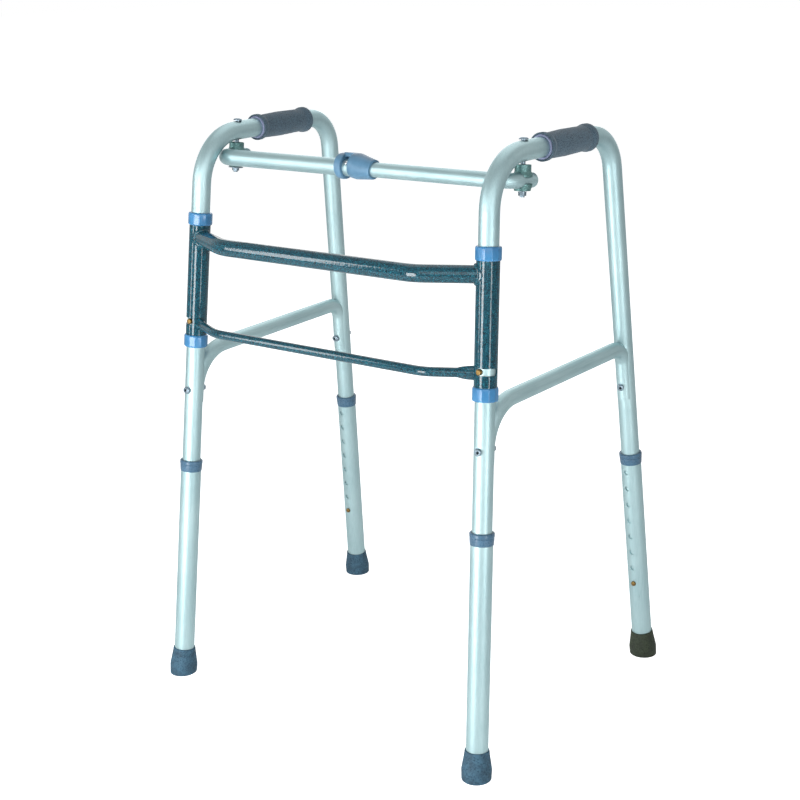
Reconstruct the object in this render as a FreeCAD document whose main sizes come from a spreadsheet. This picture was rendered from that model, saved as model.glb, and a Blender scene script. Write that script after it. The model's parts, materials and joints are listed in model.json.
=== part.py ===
import FreeCAD, Part

import math
import os

import Sketcher
from FreeCAD import Placement, Rotation, Vector

# Folding walking frame. Z is up, +X is to the right as seen from the front, the user stands behind (+Y).
# The origin is on the floor, in the middle of the four feet.

X_AXIS, Y_AXIS, Z_AXIS = Vector(1, 0, 0), Vector(0, 1, 0), Vector(0, 0, 1)

SIZES = [
    # the two side frames
    ("half_track", 258, "middle of the frame to a front leg's axis, at the floor"),
    ("base_depth", 428, "front leg axis to rear leg axis, at the floor"),
    ("side_toe", 1.5, "degrees: each side frame opens towards the rear"),
    ("side_lean", 2.2, "degrees: each side frame leans inwards at the top"),
    ("front_rake", 5.9, "degrees: a front leg leans back"),
    ("rear_rake", 5.6, "degrees: a rear leg leans forward"),
    ("handle_height", 771, "floor to the handle's axis"),
    ("front_bend", 70, "radius of the bend above a front leg"),
    ("rear_bend", 50, "radius of the bend above a rear leg"),
    # tubes
    ("frame_od", 25.4, "frame tube, outside"),
    ("frame_wall", 1.5, "frame tube, wall"),
    ("frame_end", 98, "floor to the frame tube's open ends"),
    ("leg_od", 28.6, "telescopic leg, outside"),
    ("leg_wall", 1.2, "telescopic leg, wall"),
    ("leg_base", 7, "floor to the leg tube's lower end, inside its foot"),
    ("leg_top", 320.5, "floor to the leg tube's upper end, at the lowest setting"),
    ("fit_gap", 0.3, "radial gap between parts that slide or turn"),
    ("seat_gap", 0.1, "radial gap where a part is pressed on"),
    # height adjustment
    ("hole_count", 8, "height holes in a leg"),
    ("hole_pitch", 25, "distance between height holes"),
    ("top_hole", 296, "floor to the uppermost height hole"),
    ("snap_dia", 7, "snap button, diameter"),
    ("snap_reach", 16.8, "leg axis to a snap button's tip"),
    ("snap_root", 9.0, "leg axis to a snap button's flange"),
    ("snap_rim", 8.8, "snap button's flange, diameter"),
    ("snap_lip", 1.0, "snap button's flange, thickness"),
    ("snap_round", 1.6, "snap button, radius round its tip"),
    ("spring_width", 6, "clip spring, width of the strip"),
    ("spring_strip", 0.7, "clip spring, thickness"),
    ("spring_rise", 42, "clip spring, length above its button"),
    # feet and leg collars
    ("foot_rise", 38, "foot, height"),
    ("foot_od", 39.4, "foot, diameter at the floor"),
    ("foot_neck", 31.6, "foot, diameter at its top"),
    ("foot_trim", 6, "rubber below the floor before a foot is cut level"),
    ("clamp_od", 31.8, "leg collar, diameter"),
    ("clamp_rise", 16, "leg collar, height"),
    ("clamp_lip", 2.4, "leg collar, rim over the leg tube's end"),
    ("collar_round", 1.6, "leg collar, radius round its rim"),
    # crossbars and their sleeves
    ("sleeve_wall", 1.4, "sleeve, wall"),
    ("sleeve_base", 504, "leg distance from the floor to a sleeve's lower end"),
    ("sleeve_top", 655, "leg distance from the floor to a sleeve's upper end"),
    ("ring_od", 33, "stop ring, diameter"),
    ("ring_rise", 17.2, "stop ring, height"),
    ("ring_draft", 1, "stop ring, taper and rounding of its edges"),
    ("ring_gap", 0.4, "gap between a sleeve's end and its stop ring"),
    ("upper_cross_height", 635, "floor to the upper crossbar"),
    ("upper_cross_od", 22.2, "upper crossbar, diameter"),
    ("upper_cross_front", 26, "upper crossbar's straight run, distance behind the front feet"),
    ("upper_cross_corner", 156, "upper crossbar, half the distance between its bends"),
    ("upper_cross_bend", 60, "upper crossbar, bend radius"),
    ("cross_wall", 1.5, "crossbars, wall"),
    ("lower_cross_height", 517, "floor to the lower crossbar"),
    ("lower_cross_od", 12, "lower crossbar, diameter"),
    ("lower_cross_front", 20, "lower crossbar's straight run, distance behind the front feet"),
    ("lower_cross_corner", 172, "lower crossbar, half the distance between its bends"),
    ("lower_cross_bend", 55, "lower crossbar, bend radius"),
    ("tail_length", 30, "lower crossbar, length of its flattened ends"),
    ("tail_rise", 18, "lower crossbar, height of its flattened ends"),
    ("tail_width", 9, "lower crossbar, thickness of its flattened ends"),
    # swing stop
    ("stop_height", 523, "leg distance from the floor to the swing stop"),
    ("stop_dia", 7.6, "swing stop button, diameter"),
    ("stop_reach", 16.6, "leg axis to the swing stop button's tip"),
    ("slot_rise", 9, "sleeve slot, height"),
    ("slot_eye", 10, "round hole at the start of the slot, diameter"),
    ("slot_swing", 88, "degrees that the slot runs round the sleeve"),
    # braces
    ("brace_od", 21, "brace, diameter"),
    ("brace_wall", 1.5, "brace, wall"),
    ("brace_offset", 4.6, "leg axis to the brace's axis along a leg"),
    ("brace_end", 404, "floor to the brace's ends"),
    ("brace_front_height", 474, "floor to the brace's front corner"),
    ("brace_rear_height", 478, "floor to the brace's rear corner"),
    ("brace_front_bend", 60, "brace, front bend radius"),
    ("brace_rear_bend", 26, "brace, rear bend radius"),
    ("brace_bolt_height", 425, "leg distance from the floor to a brace bolt"),
    # grips
    ("grip_start", 187, "front leg's foot to the grip's front end"),
    ("grip_length", 109, "grip, length"),
    ("grip_flange", 36, "grip, diameter of its end flanges"),
    ("grip_flange_width", 7, "grip, width of its end flanges"),
    ("grip_waist", 32, "grip, diameter beside its flanges"),
    ("grip_belly", 34, "grip, diameter at its middle"),
    # fasteners
    ("bolt_dia", 6, "bolts, shank diameter"),
    ("bolt_hole", 6.6, "bolt holes, diameter"),
    ("head_dia", 9, "bolt heads, diameter"),
    ("head_rise", 2, "bolt heads, height"),
    ("nut_width", 10, "nuts, across the corners"),
    ("nut_rise", 4, "nuts, height"),
    ("washer_dia", 10.5, "washers, diameter"),
    ("washer_rise", 0.8, "washers, thickness"),
    ("pivot_head_dia", 12, "top bar bolts' heads, diameter"),
    ("washer_lip", 3.8, "top bar washers, diameter beyond their eye's hole"),
    # telescopic top bar
    ("pivot_reach", 145, "front leg's foot to a top bar bolt"),
    ("eye_height", 736, "floor to the top bar's eyes"),
    ("bar_reach", 34, "top bar's eyes to its straight run"),
    ("bar_tip", 19, "top bar, length beyond its eyes"),
    ("bar_bend", 26, "top bar, bend radius"),
    ("outer_bar_od", 22, "outer half, diameter"),
    ("inner_bar_od", 19, "inner half, diameter"),
    ("bar_wall", 1.2, "top bar, wall"),
    ("mouth", 3.5, "middle of the frame to the outer half's open end"),
    ("inner_end", -84, "middle of the frame to the inner half's hidden end"),
    ("loose_eye", 17, "hole in the outer half's eye, which must let its bolt wander"),
    ("saddle_dia", 24, "saddles, diameter at the bar"),
    ("saddle_neck", 20.4, "saddles, diameter away from the bar"),
    ("saddle_wall", 3, "lower saddle, thickness at the bar's crown"),
    ("saddle_gap", 3.3, "handle to the upper saddle, along the bolt"),
    ("eye_play", 0.9, "gap above and below a pair of saddles"),
    ("latch_od", 33.6, "latch housing, diameter at its wide end"),
    ("latch_ring_od", 34, "latch housing's ring, diameter"),
    ("latch_ring", 10.5, "latch housing's ring, width"),
    ("latch_sleeve", 33.5, "latch housing's sleeve, length"),
    ("latch_small_end", 25.2, "latch housing, diameter at its small end"),
    ("latch_window", 11, "latch housing, gap between its ring and its sleeve"),
    ("latch_bridge", 19, "latch housing, width of the bridge over the window"),
    ("latch_rise", 3.8, "bar axis up to the middle of the latch housing's wide end"),
    ("latch_lap", 2.4, "length of the outer half inside the latch sleeve"),
    ("latch_shoulder", 0.6, "step from the latch's ends to its greatest radius"),
    ("latch_lean", 20, "degrees: the latch housing's bridge leans back from upright"),
    ("pin_dia", 5, "latch pin, diameter"),
    ("pin_rim", 7, "latch pin's flange, diameter"),
    ("pin_root", 6, "bar axis to the latch pin's flange"),
    ("pin_reach", 12.6, "bar axis to the latch pin's tip"),
    ("pin_spring_rise", 24, "latch pin's spring, length beyond the pin"),
    ("pin_lean", 55, "degrees: the latch pin leans forwards from upright"),
]

doc = FreeCAD.newDocument("walking_frame")
sheet = doc.addObject("Spreadsheet::Sheet", "Sizes")
for row, (alias, value, meaning) in enumerate(SIZES, start=1):
    sheet.set(f"A{row}", alias)
    sheet.set(f"B{row}", str(value))
    sheet.setAlias(f"B{row}", alias)
    sheet.set(f"C{row}", meaning)
doc.recompute()


class Size:
    """A size worked out from the sheet: its value now, and the expression that keeps it bound."""

    def __init__(self, value, text):
        self.value = value
        self.text = text

    def __add__(self, other):
        other = as_size(other)
        return Size(self.value + other.value, f"({self.text} + {other.text})")

    def __sub__(self, other):
        other = as_size(other)
        return Size(self.value - other.value, f"({self.text} - {other.text})")

    def __mul__(self, other):
        other = as_size(other)
        return Size(self.value * other.value, f"({self.text} * {other.text})")

    def __truediv__(self, other):
        other = as_size(other)
        return Size(self.value / other.value, f"({self.text} / {other.text})")

    def __neg__(self):
        return self * -1


def as_size(item):
    return item if isinstance(item, Size) else Size(item, f"({item})")


def tangent(angle):
    return Size(math.tan(math.radians(angle.value)), f"tan({angle.text} * 1 deg)")


class Sheet:
    """The sheet's cells by name."""

    def __getattr__(self, alias):
        return Size(float(sheet.get(alias)), f"Sizes.{alias}")


s = Sheet()


def bind(thing, **sizes):
    """Binds properties of an object to the sheet."""
    for name, size in sizes.items():
        thing.setExpression(name, as_size(size).text)
    return thing


# ---- sketches -------------------------------------------------------------------------------------------


def corner_arc(before, corner, after, radius):
    """Centre, first and last point of the arc that rounds a corner, and whether it turns left."""
    back = (before - corner).normalize()
    ahead = (after - corner).normalize()
    half = back.getAngle(ahead) / 2
    run = radius / math.tan(half)
    centre = corner + (back + ahead).normalize() * (radius / math.sin(half))
    turns_left = (-back).cross(ahead).z > 0
    return centre, corner + back * run, corner + ahead * run, turns_left


def pin_point(sketch, geometry, end, point):
    """Holds one end of a line, or a point, at a place bound to the sheet."""
    for kind, size in (("DistanceX", point[0]), ("DistanceY", point[1])):
        index = sketch.addConstraint(Sketcher.Constraint(kind, -1, 1, geometry, end, as_size(size).value))
        sketch.setExpression(f"Constraints[{index}]", as_size(size).text)


def outline(sketch, points, closed=True):
    """Lines from point to point. A point with a third value is rounded by a tangent arc of that radius."""
    spots = [Vector(as_size(p[0]).value, as_size(p[1]).value, 0) for p in points]
    count = len(points)
    runs = count if closed else count - 1
    starts, ends, arcs = list(spots), list(spots[1:] + spots[:1]), {}
    for i, point in enumerate(points):
        if len(point) == 3:
            arcs[i] = corner_arc(spots[i - 1], spots[i], spots[(i + 1) % count], as_size(point[2]).value)
            ends[i - 1] = arcs[i][1]
            starts[i] = arcs[i][2]
    lines = [sketch.addGeometry(Part.LineSegment(starts[i], ends[i]), False) for i in range(runs)]
    for i, point in enumerate(points):
        open_end = not closed and i in (0, count - 1)
        if open_end:
            pin_point(sketch, lines[0] if i == 0 else lines[-1], 1 if i == 0 else 2, point)
        elif i in arcs:
            round_corner(sketch, lines[i - 1], lines[i], arcs[i], point)
        else:
            sketch.addConstraint(Sketcher.Constraint("Coincident", lines[i - 1], 2, lines[i], 1))
            pin_point(sketch, lines[i], 1, point)


def round_corner(sketch, line_in, line_out, arc, point):
    centre, first, last, turns_left = arc
    low, high = (first, last) if turns_left else (last, first)
    angles = [math.atan2(p.y - centre.y, p.x - centre.x) for p in (low, high)]
    circle = Part.Circle(centre, Z_AXIS, as_size(point[2]).value)
    bend = sketch.addGeometry(Part.ArcOfCircle(circle, angles[0], angles[1]), False)
    spot = Vector(as_size(point[0]).value, as_size(point[1]).value, 0)
    corner = sketch.addGeometry(Part.Point(spot), True)
    pin_point(sketch, corner, 1, point)
    sketch.addConstraint(Sketcher.Constraint("PointOnObject", corner, 1, line_in))
    sketch.addConstraint(Sketcher.Constraint("PointOnObject", corner, 1, line_out))
    sketch.addConstraint(Sketcher.Constraint("Tangent", line_in, 2, bend, 1 if turns_left else 2))
    sketch.addConstraint(Sketcher.Constraint("Tangent", bend, 2 if turns_left else 1, line_out, 1))
    index = sketch.addConstraint(Sketcher.Constraint("Radius", bend, as_size(point[2]).value))
    sketch.setExpression(f"Constraints[{index}]", as_size(point[2]).text)


def circle_at_origin(sketch, radius):
    circle = sketch.addGeometry(Part.Circle(Vector(0, 0, 0), Z_AXIS, radius.value), False)
    sketch.addConstraint(Sketcher.Constraint("Coincident", circle, 3, -1, 1))
    index = sketch.addConstraint(Sketcher.Constraint("Radius", circle, radius.value))
    sketch.setExpression(f"Constraints[{index}]", radius.text)


def new_sketch(body, name, plane):
    sketch = body.newObject("Sketcher::SketchObject", name)
    feature = [f for f in body.Origin.OriginFeatures if f.Role == plane][0]
    sketch.AttachmentSupport = [(feature, "")]
    sketch.MapMode = "FlatFace"
    return sketch


# ---- solids ---------------------------------------------------------------------------------------------


def lathe(name, profile):
    """A body turned about its own Z axis from a closed outline of (radius, height) points."""
    body = doc.addObject("PartDesign::Body", name)
    sketch = new_sketch(body, name + "_profile", "XZ_Plane")
    outline(sketch, profile)
    turn = body.newObject("PartDesign::Revolution", name + "_turn")
    turn.Profile = sketch
    turn.ReferenceAxis = (sketch, ["V_Axis"])
    turn.Angle = 360
    return body


def sweep(name, points, draw_section):
    """A body swept along an open outline in its XZ plane; draw_section draws the section about the origin."""
    body = doc.addObject("PartDesign::Body", name)
    path = new_sketch(body, name + "_path", "XZ_Plane")
    outline(path, points, closed=False)
    first, second = [(as_size(p[0]), as_size(p[1])) for p in points[:2]]
    heading = math.atan2(second[0].value - first[0].value, second[1].value - first[1].value)
    section = new_sketch(body, name + "_section", "XY_Plane")
    section.AttachmentOffset = Placement(
        Vector(first[0].value, 0, first[1].value), Rotation(Y_AXIS, math.degrees(heading))
    )
    section.setExpression("AttachmentOffset.Base.x", first[0].text)
    section.setExpression("AttachmentOffset.Base.z", first[1].text)
    draw_section(section)
    doc.recompute()
    pipe = body.newObject("PartDesign::AdditivePipe", name + "_pipe")
    pipe.Profile = section
    pipe.Spine = (path, [f"Edge{i + 1}" for i in range(len(path.Shape.Edges))])
    return body


def tube_section(od, wall=None):
    def draw(sketch):
        circle_at_origin(sketch, od / 2)
        if wall is not None:
            circle_at_origin(sketch, od / 2 - wall)

    return draw


def strip_section(width, thickness):
    def draw(sketch):
        across, along = thickness / 2, width / 2
        outline(sketch, [(-across, -along), (across, -along), (across, along), (-across, along)])

    return draw


def rod(name, diameter, length, place=None, angle=360):
    """A cylinder along the Z axis of its place, or a sector of one."""
    cylinder = doc.addObject("Part::Cylinder", name)
    bind(cylinder, Radius=diameter / 2, Height=length, Angle=angle)
    cylinder.Placement = place or Placement()
    return cylinder


def crossing(name, diameter, length, place):
    """A rod centred on its place, along its Z axis."""
    return rod(name, diameter, length, place * Placement(Z_AXIS * (-length.value / 2), Rotation()))


def fuse(name, shapes):
    joined = doc.addObject("Part::MultiFuse", name)
    joined.Shapes = shapes
    return joined


def cut(name, base, tools):
    """The base with every tool taken away."""
    result = doc.addObject("Part::Cut", name)
    result.Base = base
    result.Tool = tools[0] if len(tools) == 1 else fuse(name + "_tools", tools)
    return result


def group(name, shapes):
    """Separate solids that share one node."""
    compound = doc.addObject("Part::Compound", name)
    compound.Links = shapes
    return compound


nodes = []


def finish(label, thing, place):
    """Names a finished sub-part and puts it in its place."""
    thing.Label = label
    thing.Placement = place
    nodes.append(thing)
    return thing


# ---- places ---------------------------------------------------------------------------------------------

SIDES = {"left": -1, "right": 1}


def turned(axis, angle):
    """A turn in place."""
    return Placement(Vector(0, 0, 0), Rotation(axis, angle))


CROSSWISE = turned(Y_AXIS, 90)


def front_feet():
    """Where the front feet stand along Y."""
    return -s.base_depth.value / 2


def side_place(sign):
    """A side frame's own plane: X runs rearwards along the floor, Z up the frame."""
    turn = Rotation(Z_AXIS, 90 - sign * s.side_toe.value) * Rotation(X_AXIS, -sign * s.side_lean.value)
    return Placement(Vector(sign * s.half_track.value, front_feet(), 0), turn)


def leg_in_side(leg):
    """A leg's axis within its side frame."""
    if leg == "front":
        return turned(Y_AXIS, s.front_rake.value)
    return Placement(Vector(s.base_depth.value, 0, 0), Rotation(Y_AXIS, -s.rear_rake.value))


def leg_place(sign, leg):
    return side_place(sign) * leg_in_side(leg)


def along_leg(leg, distance):
    return leg_in_side(leg) * Placement(Z_AXIS * distance.value, Rotation())


def front_line(height):
    return height * tangent(s.front_rake)


def rear_line(height):
    return s.base_depth - height * tangent(s.rear_rake)


def facing(leg):
    """Height holes face into the side frame: rearwards on a front leg, forwards on a rear leg."""
    return 1 if leg == "front" else -1


def pivot_in_side():
    """A top bar bolt's place in its side frame: parallel to the front leg, at the height of the eye."""
    return Placement(Vector(s.pivot_reach.value, 0, s.eye_height.value), Rotation(Y_AXIS, s.front_rake.value))


def top_bar_place():
    """The top bar's plane: X to the right, Z forwards, the eyes on its X axis."""
    eye = side_place(1) * pivot_in_side()
    turn = Rotation(X_AXIS, 90 - s.front_rake.value)
    return Placement(Vector(0, eye.Base.y, eye.Base.z), turn)


def snap_height():
    return s.top_hole - s.hole_pitch * (s.hole_count - 1)


# ---- side frames ----------------------------------------------------------------------------------------


def frame_tube(side):
    height = s.handle_height
    points = [
        (front_line(s.frame_end), s.frame_end),
        (front_line(height), height, s.front_bend),
        (rear_line(height), height, s.rear_bend),
        (rear_line(s.frame_end), s.frame_end),
    ]
    bent = sweep(f"{side}_bent_tube", points, tube_section(s.frame_od, s.frame_wall))
    through = s.frame_od * 2
    holes = [crossing(f"{side}_pivot_hole", s.bolt_hole, through, pivot_top())]
    for leg in ("front", "rear"):
        spot = along_leg(leg, s.brace_bolt_height) * CROSSWISE
        holes.append(crossing(f"{side}_{leg}_bolt_hole", s.bolt_hole, through, spot))
        spot = along_leg(leg, snap_height()) * turned(Y_AXIS, 90 * facing(leg))
        holes.append(rod(f"{side}_{leg}_snap_hole", s.snap_dia + s.fit_gap * 2, s.frame_od, spot))
    spot = along_leg("front", s.stop_height) * turned(Y_AXIS, -90)
    holes.append(rod(f"{side}_stop_hole", s.stop_dia + s.fit_gap * 2, s.frame_od, spot))
    return cut(f"{side}_frame_tube", bent, holes)


def handle_rise():
    """Distance from an eye up to the handle's axis, along the bolt."""
    return (s.handle_height.value - s.eye_height.value) / math.cos(math.radians(s.front_rake.value))


def pivot_top():
    return pivot_in_side() * Placement(Z_AXIS * handle_rise(), Rotation())


def brace(side):
    offset = s.brace_offset
    points = [
        (front_line(s.brace_end) + offset, s.brace_end),
        (front_line(s.brace_front_height) + offset, s.brace_front_height, s.brace_front_bend),
        (rear_line(s.brace_rear_height) - offset, s.brace_rear_height, s.brace_rear_bend),
        (rear_line(s.brace_end) - offset, s.brace_end),
    ]
    bent = sweep(f"{side}_bent_brace", points, tube_section(s.brace_od))
    spots = [Vector(p[0].value, 0, p[1].value) for p in points]
    bore_start, bore_end = straight_run(spots, s.brace_front_bend.value, s.brace_rear_bend.value)
    tools = []
    bore = rod(f"{side}_brace_bore", s.brace_od - s.brace_wall * 2, as_size((bore_end - bore_start).Length))
    bore.Placement = Placement(bore_start, Rotation(Z_AXIS, bore_end - bore_start))
    tools.append(bore)
    for leg in ("front", "rear"):
        seat_bore = s.frame_od + s.seat_gap * 2
        spot = along_leg(leg, s.brace_end)
        tools.append(crossing(f"{side}_{leg}_brace_seat", seat_bore, s.handle_height, spot))
        spot = along_leg(leg, s.brace_bolt_height) * CROSSWISE
        tools.append(crossing(f"{side}_{leg}_brace_hole", s.bolt_hole, s.frame_od * 2, spot))
    return cut(f"{side}_brace", bent, tools)


def straight_run(spots, first_radius, last_radius):
    """Ends of the straight run between the two bends of a path of four points."""
    first = corner_arc(*[Vector(p.x, p.z, 0) for p in spots[0:3]], first_radius)
    last = corner_arc(*[Vector(p.x, p.z, 0) for p in spots[1:4]], last_radius)
    return Vector(first[2].x, 0, first[2].y), Vector(last[1].x, 0, last[1].y)


def bolt(name, width, length):
    """A domed bolt: its head's underside at the origin, its shank along +Z."""
    head = width / 2
    shank = s.bolt_dia / 2
    profile = [
        (0, -s.head_rise),
        (head, -s.head_rise, s.head_rise * 0.8),
        (head, 0),
        (shank, 0),
        (shank, length),
        (0, length),
    ]
    return lathe(name, profile)


def nut(name, place):
    """A hexagon nut with its own hole, standing on its place."""
    hexagon = doc.addObject("Part::Prism", name + "_hexagon")
    hexagon.Polygon = 6
    bind(hexagon, Circumradius=s.nut_width / 2, Height=s.nut_rise)
    hole = rod(name + "_hole", s.bolt_dia, s.nut_rise)
    pierced = cut(name, hexagon, [hole])
    pierced.Placement = place
    return pierced


def washer(name, diameter, place):
    ring = rod(name + "_disc", diameter, s.washer_rise)
    hole = rod(name + "_hole", s.bolt_hole, s.washer_rise)
    pierced = cut(name, ring, [hole])
    pierced.Placement = place
    return pierced


def brace_fasteners(side):
    """A bolt runs rearwards through each leg: the front one meets the tube first, the rear one the brace."""
    crown = s.brace_offset + s.brace_od / 2
    near = s.frame_od / 2
    bolts, nuts = [], []
    for leg, head_at, nut_at in (("front", near, crown), ("rear", crown, near)):
        start = along_leg(leg, s.brace_bolt_height) * CROSSWISE
        under_head = head_at + s.washer_rise + s.fit_gap
        shank = under_head + nut_at + s.fit_gap + s.nut_rise + s.bolt_dia / 3
        shaft = bolt(f"{side}_{leg}_brace_bolt", s.head_dia, shank)
        shaft.Placement = start * Placement(Z_AXIS * -under_head.value, Rotation())
        bolts.append(shaft)
        disc = start * Placement(Z_AXIS * -(under_head.value), Rotation())
        bolts.append(washer(f"{side}_{leg}_brace_washer", s.washer_dia, disc))
        far = start * Placement(Z_AXIS * (nut_at + s.fit_gap + s.seat_gap).value, Rotation())
        nuts.append(nut(f"{side}_{leg}_brace_nut", far))
    return group(f"{side}_brace_bolts", bolts), group(f"{side}_brace_nuts", nuts)


def grip():
    bore = s.frame_od / 2 + s.seat_gap
    flange, waist, belly = s.grip_flange / 2, s.grip_waist / 2, s.grip_belly / 2
    width, length = s.grip_flange_width, s.grip_length
    profile = [
        (bore, 0),
        (flange, 0, width * 0.3),
        (flange, width, width * 0.3),
        (waist, width * 1.6, width),
        (belly, length * 0.5, length),
        (waist, length - width * 1.6, width),
        (flange, length - width, width * 0.3),
        (flange, length, width * 0.3),
        (bore, length),
    ]
    return profile


def stop_ring():
    bore = s.frame_od / 2 + s.seat_gap
    profile = [
        (bore, 0),
        (s.ring_od / 2 - s.ring_draft, 0, s.ring_draft),
        (s.ring_od / 2, s.ring_rise * 0.25, s.ring_draft * 2),
        (s.ring_od / 2, s.ring_rise, s.ring_draft),
        (bore, s.ring_rise),
    ]
    return profile


def snap_button(name, reach, diameter, root, flange):
    """A button that stands out along +Z, with a flange that its spring bears on."""
    rim, shaft = flange / 2, diameter / 2
    profile = [
        (0, root),
        (rim, root),
        (rim, root + s.snap_lip),
        (shaft, root + s.snap_lip),
        (shaft, reach, s.snap_round),
        (0, reach),
    ]
    return lathe(name, profile)


def clip_spring(name, root, bore, top):
    """A hairpin strip inside a tube: one leaf behind the button, the other against the far wall."""
    leaf = root - s.fit_gap - s.spring_strip / 2
    crown = s.spring_width * s.spring_width / (bore * 8)
    far_leaf = bore - crown - s.fit_gap - s.spring_strip / 2
    points = [
        (-far_leaf, -top / 3),
        (-far_leaf, top, leaf * 0.9),
        (leaf, top, leaf * 0.9),
        (leaf, -s.snap_rim / 2),
    ]
    return sweep(name, points, strip_section(s.spring_width, s.spring_strip))


def tube_spring(name):
    return clip_spring(name, s.snap_root, s.frame_od / 2 - s.frame_wall, s.spring_rise)


def build_side(side, sign):
    place = side_place(sign)
    finish(f"{side}_frame_tube", frame_tube(side), place)
    finish(f"{side}_brace", brace(side), place)
    bolts, nuts = brace_fasteners(side)
    finish(f"{side}_brace_bolts", bolts, place)
    finish(f"{side}_brace_nuts", nuts, place)
    spot = Placement(Vector(s.grip_start.value, 0, s.handle_height.value), Rotation(Y_AXIS, 90))
    finish(f"{side}_grip", lathe(f"{side}_grip", grip()), place * spot)
    front = leg_place(sign, "front")
    low = s.sleeve_base.value - s.ring_gap.value
    high = s.sleeve_top.value + s.ring_gap.value
    below = Placement(Z_AXIS * low, Rotation(X_AXIS, 180))
    above = Placement(Z_AXIS * high, Rotation())
    finish(f"{side}_lower_ring", lathe(f"{side}_lower_ring", stop_ring()), front * below)
    finish(f"{side}_upper_ring", lathe(f"{side}_upper_ring", stop_ring()), front * above)
    spot = front * Placement(Z_AXIS * s.stop_height.value, Rotation(Y_AXIS, -90))
    button = snap_button(f"{side}_stop_button", s.stop_reach, s.stop_dia, s.snap_root, s.snap_rim)
    finish(f"{side}_stop_button", button, spot)
    spring = Placement(Z_AXIS * s.stop_height.value, Rotation(Z_AXIS, 180))
    finish(f"{side}_stop_spring", tube_spring(f"{side}_stop_spring"), front * spring)
    build_pivot(side, place)


# ---- top bar pivots -------------------------------------------------------------------------------------


def bar_od(side):
    return s.outer_bar_od if side == "left" else s.inner_bar_od


def eye_hole(side):
    """The outer half's eye is loose, because it closes the folding linkage."""
    return s.loose_eye if side == "left" else s.bolt_hole


def saddle_reach(side, up):
    """From the bar's axis to a saddle's outer face; the upper one fills the space below the handle."""
    if up > 0:
        return as_size(handle_rise()) - s.frame_od / 2 - s.saddle_gap
    return bar_od(side) / 2 + s.saddle_wall


def build_pivot(side, place):
    """The bolt stands in the handle and carries the bar's eye between two saddles."""
    pivot = pivot_in_side()
    tilt = math.tan(math.radians(s.front_rake.value)) * s.pivot_head_dia.value / 2
    under_head = handle_rise() + s.frame_od.value / 2 + tilt + s.fit_gap.value
    low = saddle_reach(side, -1) + s.eye_play
    shank = as_size(under_head) + low + s.washer_rise + s.nut_rise + s.bolt_dia / 3
    top = pivot * Placement(Z_AXIS * under_head, Rotation(X_AXIS, 180))
    shaft = bolt(f"{side}_pivot_bolt", s.pivot_head_dia, shank)
    finish(f"{side}_pivot_bolt", shaft, place * top)
    below = pivot * Placement(Z_AXIS * -low.value, Rotation(X_AXIS, 180))
    disc = washer(f"{side}_pivot_washer", eye_hole(side) + s.washer_lip, below)
    far = below * Placement(Z_AXIS * (s.washer_rise + s.seat_gap).value, Rotation())
    finish(f"{side}_pivot_nut", group(f"{side}_pivot_nut", [disc, nut(f"{side}_nut", far)]), place)


def saddle(side, name, up):
    """A flared block above or below the bar, hollowed to sit on it; the origin is the bar's axis."""
    reach = saddle_reach(side, up)
    skirt = bar_od(side) / 2 * 0.45
    wide, neck = s.saddle_dia / 2, s.saddle_neck / 2
    profile = [
        (0, skirt),
        (wide, skirt),
        (wide, skirt * 1.5, s.saddle_wall / 2),
        (neck, bar_od(side) / 2 + s.saddle_wall / 2, s.saddle_wall / 2),
        (neck, reach, s.saddle_wall / 4),
        (0, reach),
    ]
    block = lathe(name + "_block", profile)
    block.Placement = turned(X_AXIS, 90 - 90 * up)
    pivot = side_place(SIDES[side]) * pivot_in_side()
    along_bar = pivot.Rotation.inverted().multVec(top_bar_place().Rotation.multVec(Z_AXIS))
    lie = turned(Z_AXIS, along_bar)
    hollow = crossing(name + "_seat", bar_od(side) + s.seat_gap * 2, s.saddle_dia * 2, lie)
    hole = crossing(name + "_hole", eye_hole(side), reach * 4, Placement())
    return cut(name, block, [hollow, hole])


def build_saddles(side, sign):
    pivot = side_place(sign) * pivot_in_side()
    for name, up in (("upper", 1), ("lower", -1)):
        finish(f"{side}_{name}_saddle", saddle(side, f"{side}_{name}_saddle", up), pivot)


# ---- telescopic top bar ---------------------------------------------------------------------------------


def bar_half(side, sign, free_end):
    """One half of the top bar, from its eye under the handle to its free end."""
    eye = side_place(sign) * pivot_in_side()
    x_eye = as_size(eye.Base.x)
    od = bar_od(side)
    points = [(x_eye, -s.bar_tip), (x_eye, s.bar_reach, s.bar_bend), (free_end, s.bar_reach)]
    bent = sweep(f"{side}_bar_bent", points, tube_section(od, s.bar_wall))
    hole = rod(f"{side}_eye_hole", eye_hole(side), od * 2)
    local_axis = top_bar_place().Rotation.inverted().multVec(eye.Rotation.multVec(Z_AXIS))
    start = Vector(x_eye.value, 0, 0) - local_axis * od.value
    hole.Placement = Placement(start, Rotation(Z_AXIS, local_axis))
    return bent, hole


def bar_cap(side):
    """A domed plug in the open end behind an eye."""
    od, wall = bar_od(side), s.bar_wall
    profile = [
        (0, -od * 0.22),
        (od / 2, -od * 0.22, od * 0.18),
        (od / 2, 0),
        (od / 2 - wall - s.seat_gap, 0),
        (od / 2 - wall - s.seat_gap, od * 0.3),
        (0, od * 0.3),
    ]
    return profile


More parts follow.
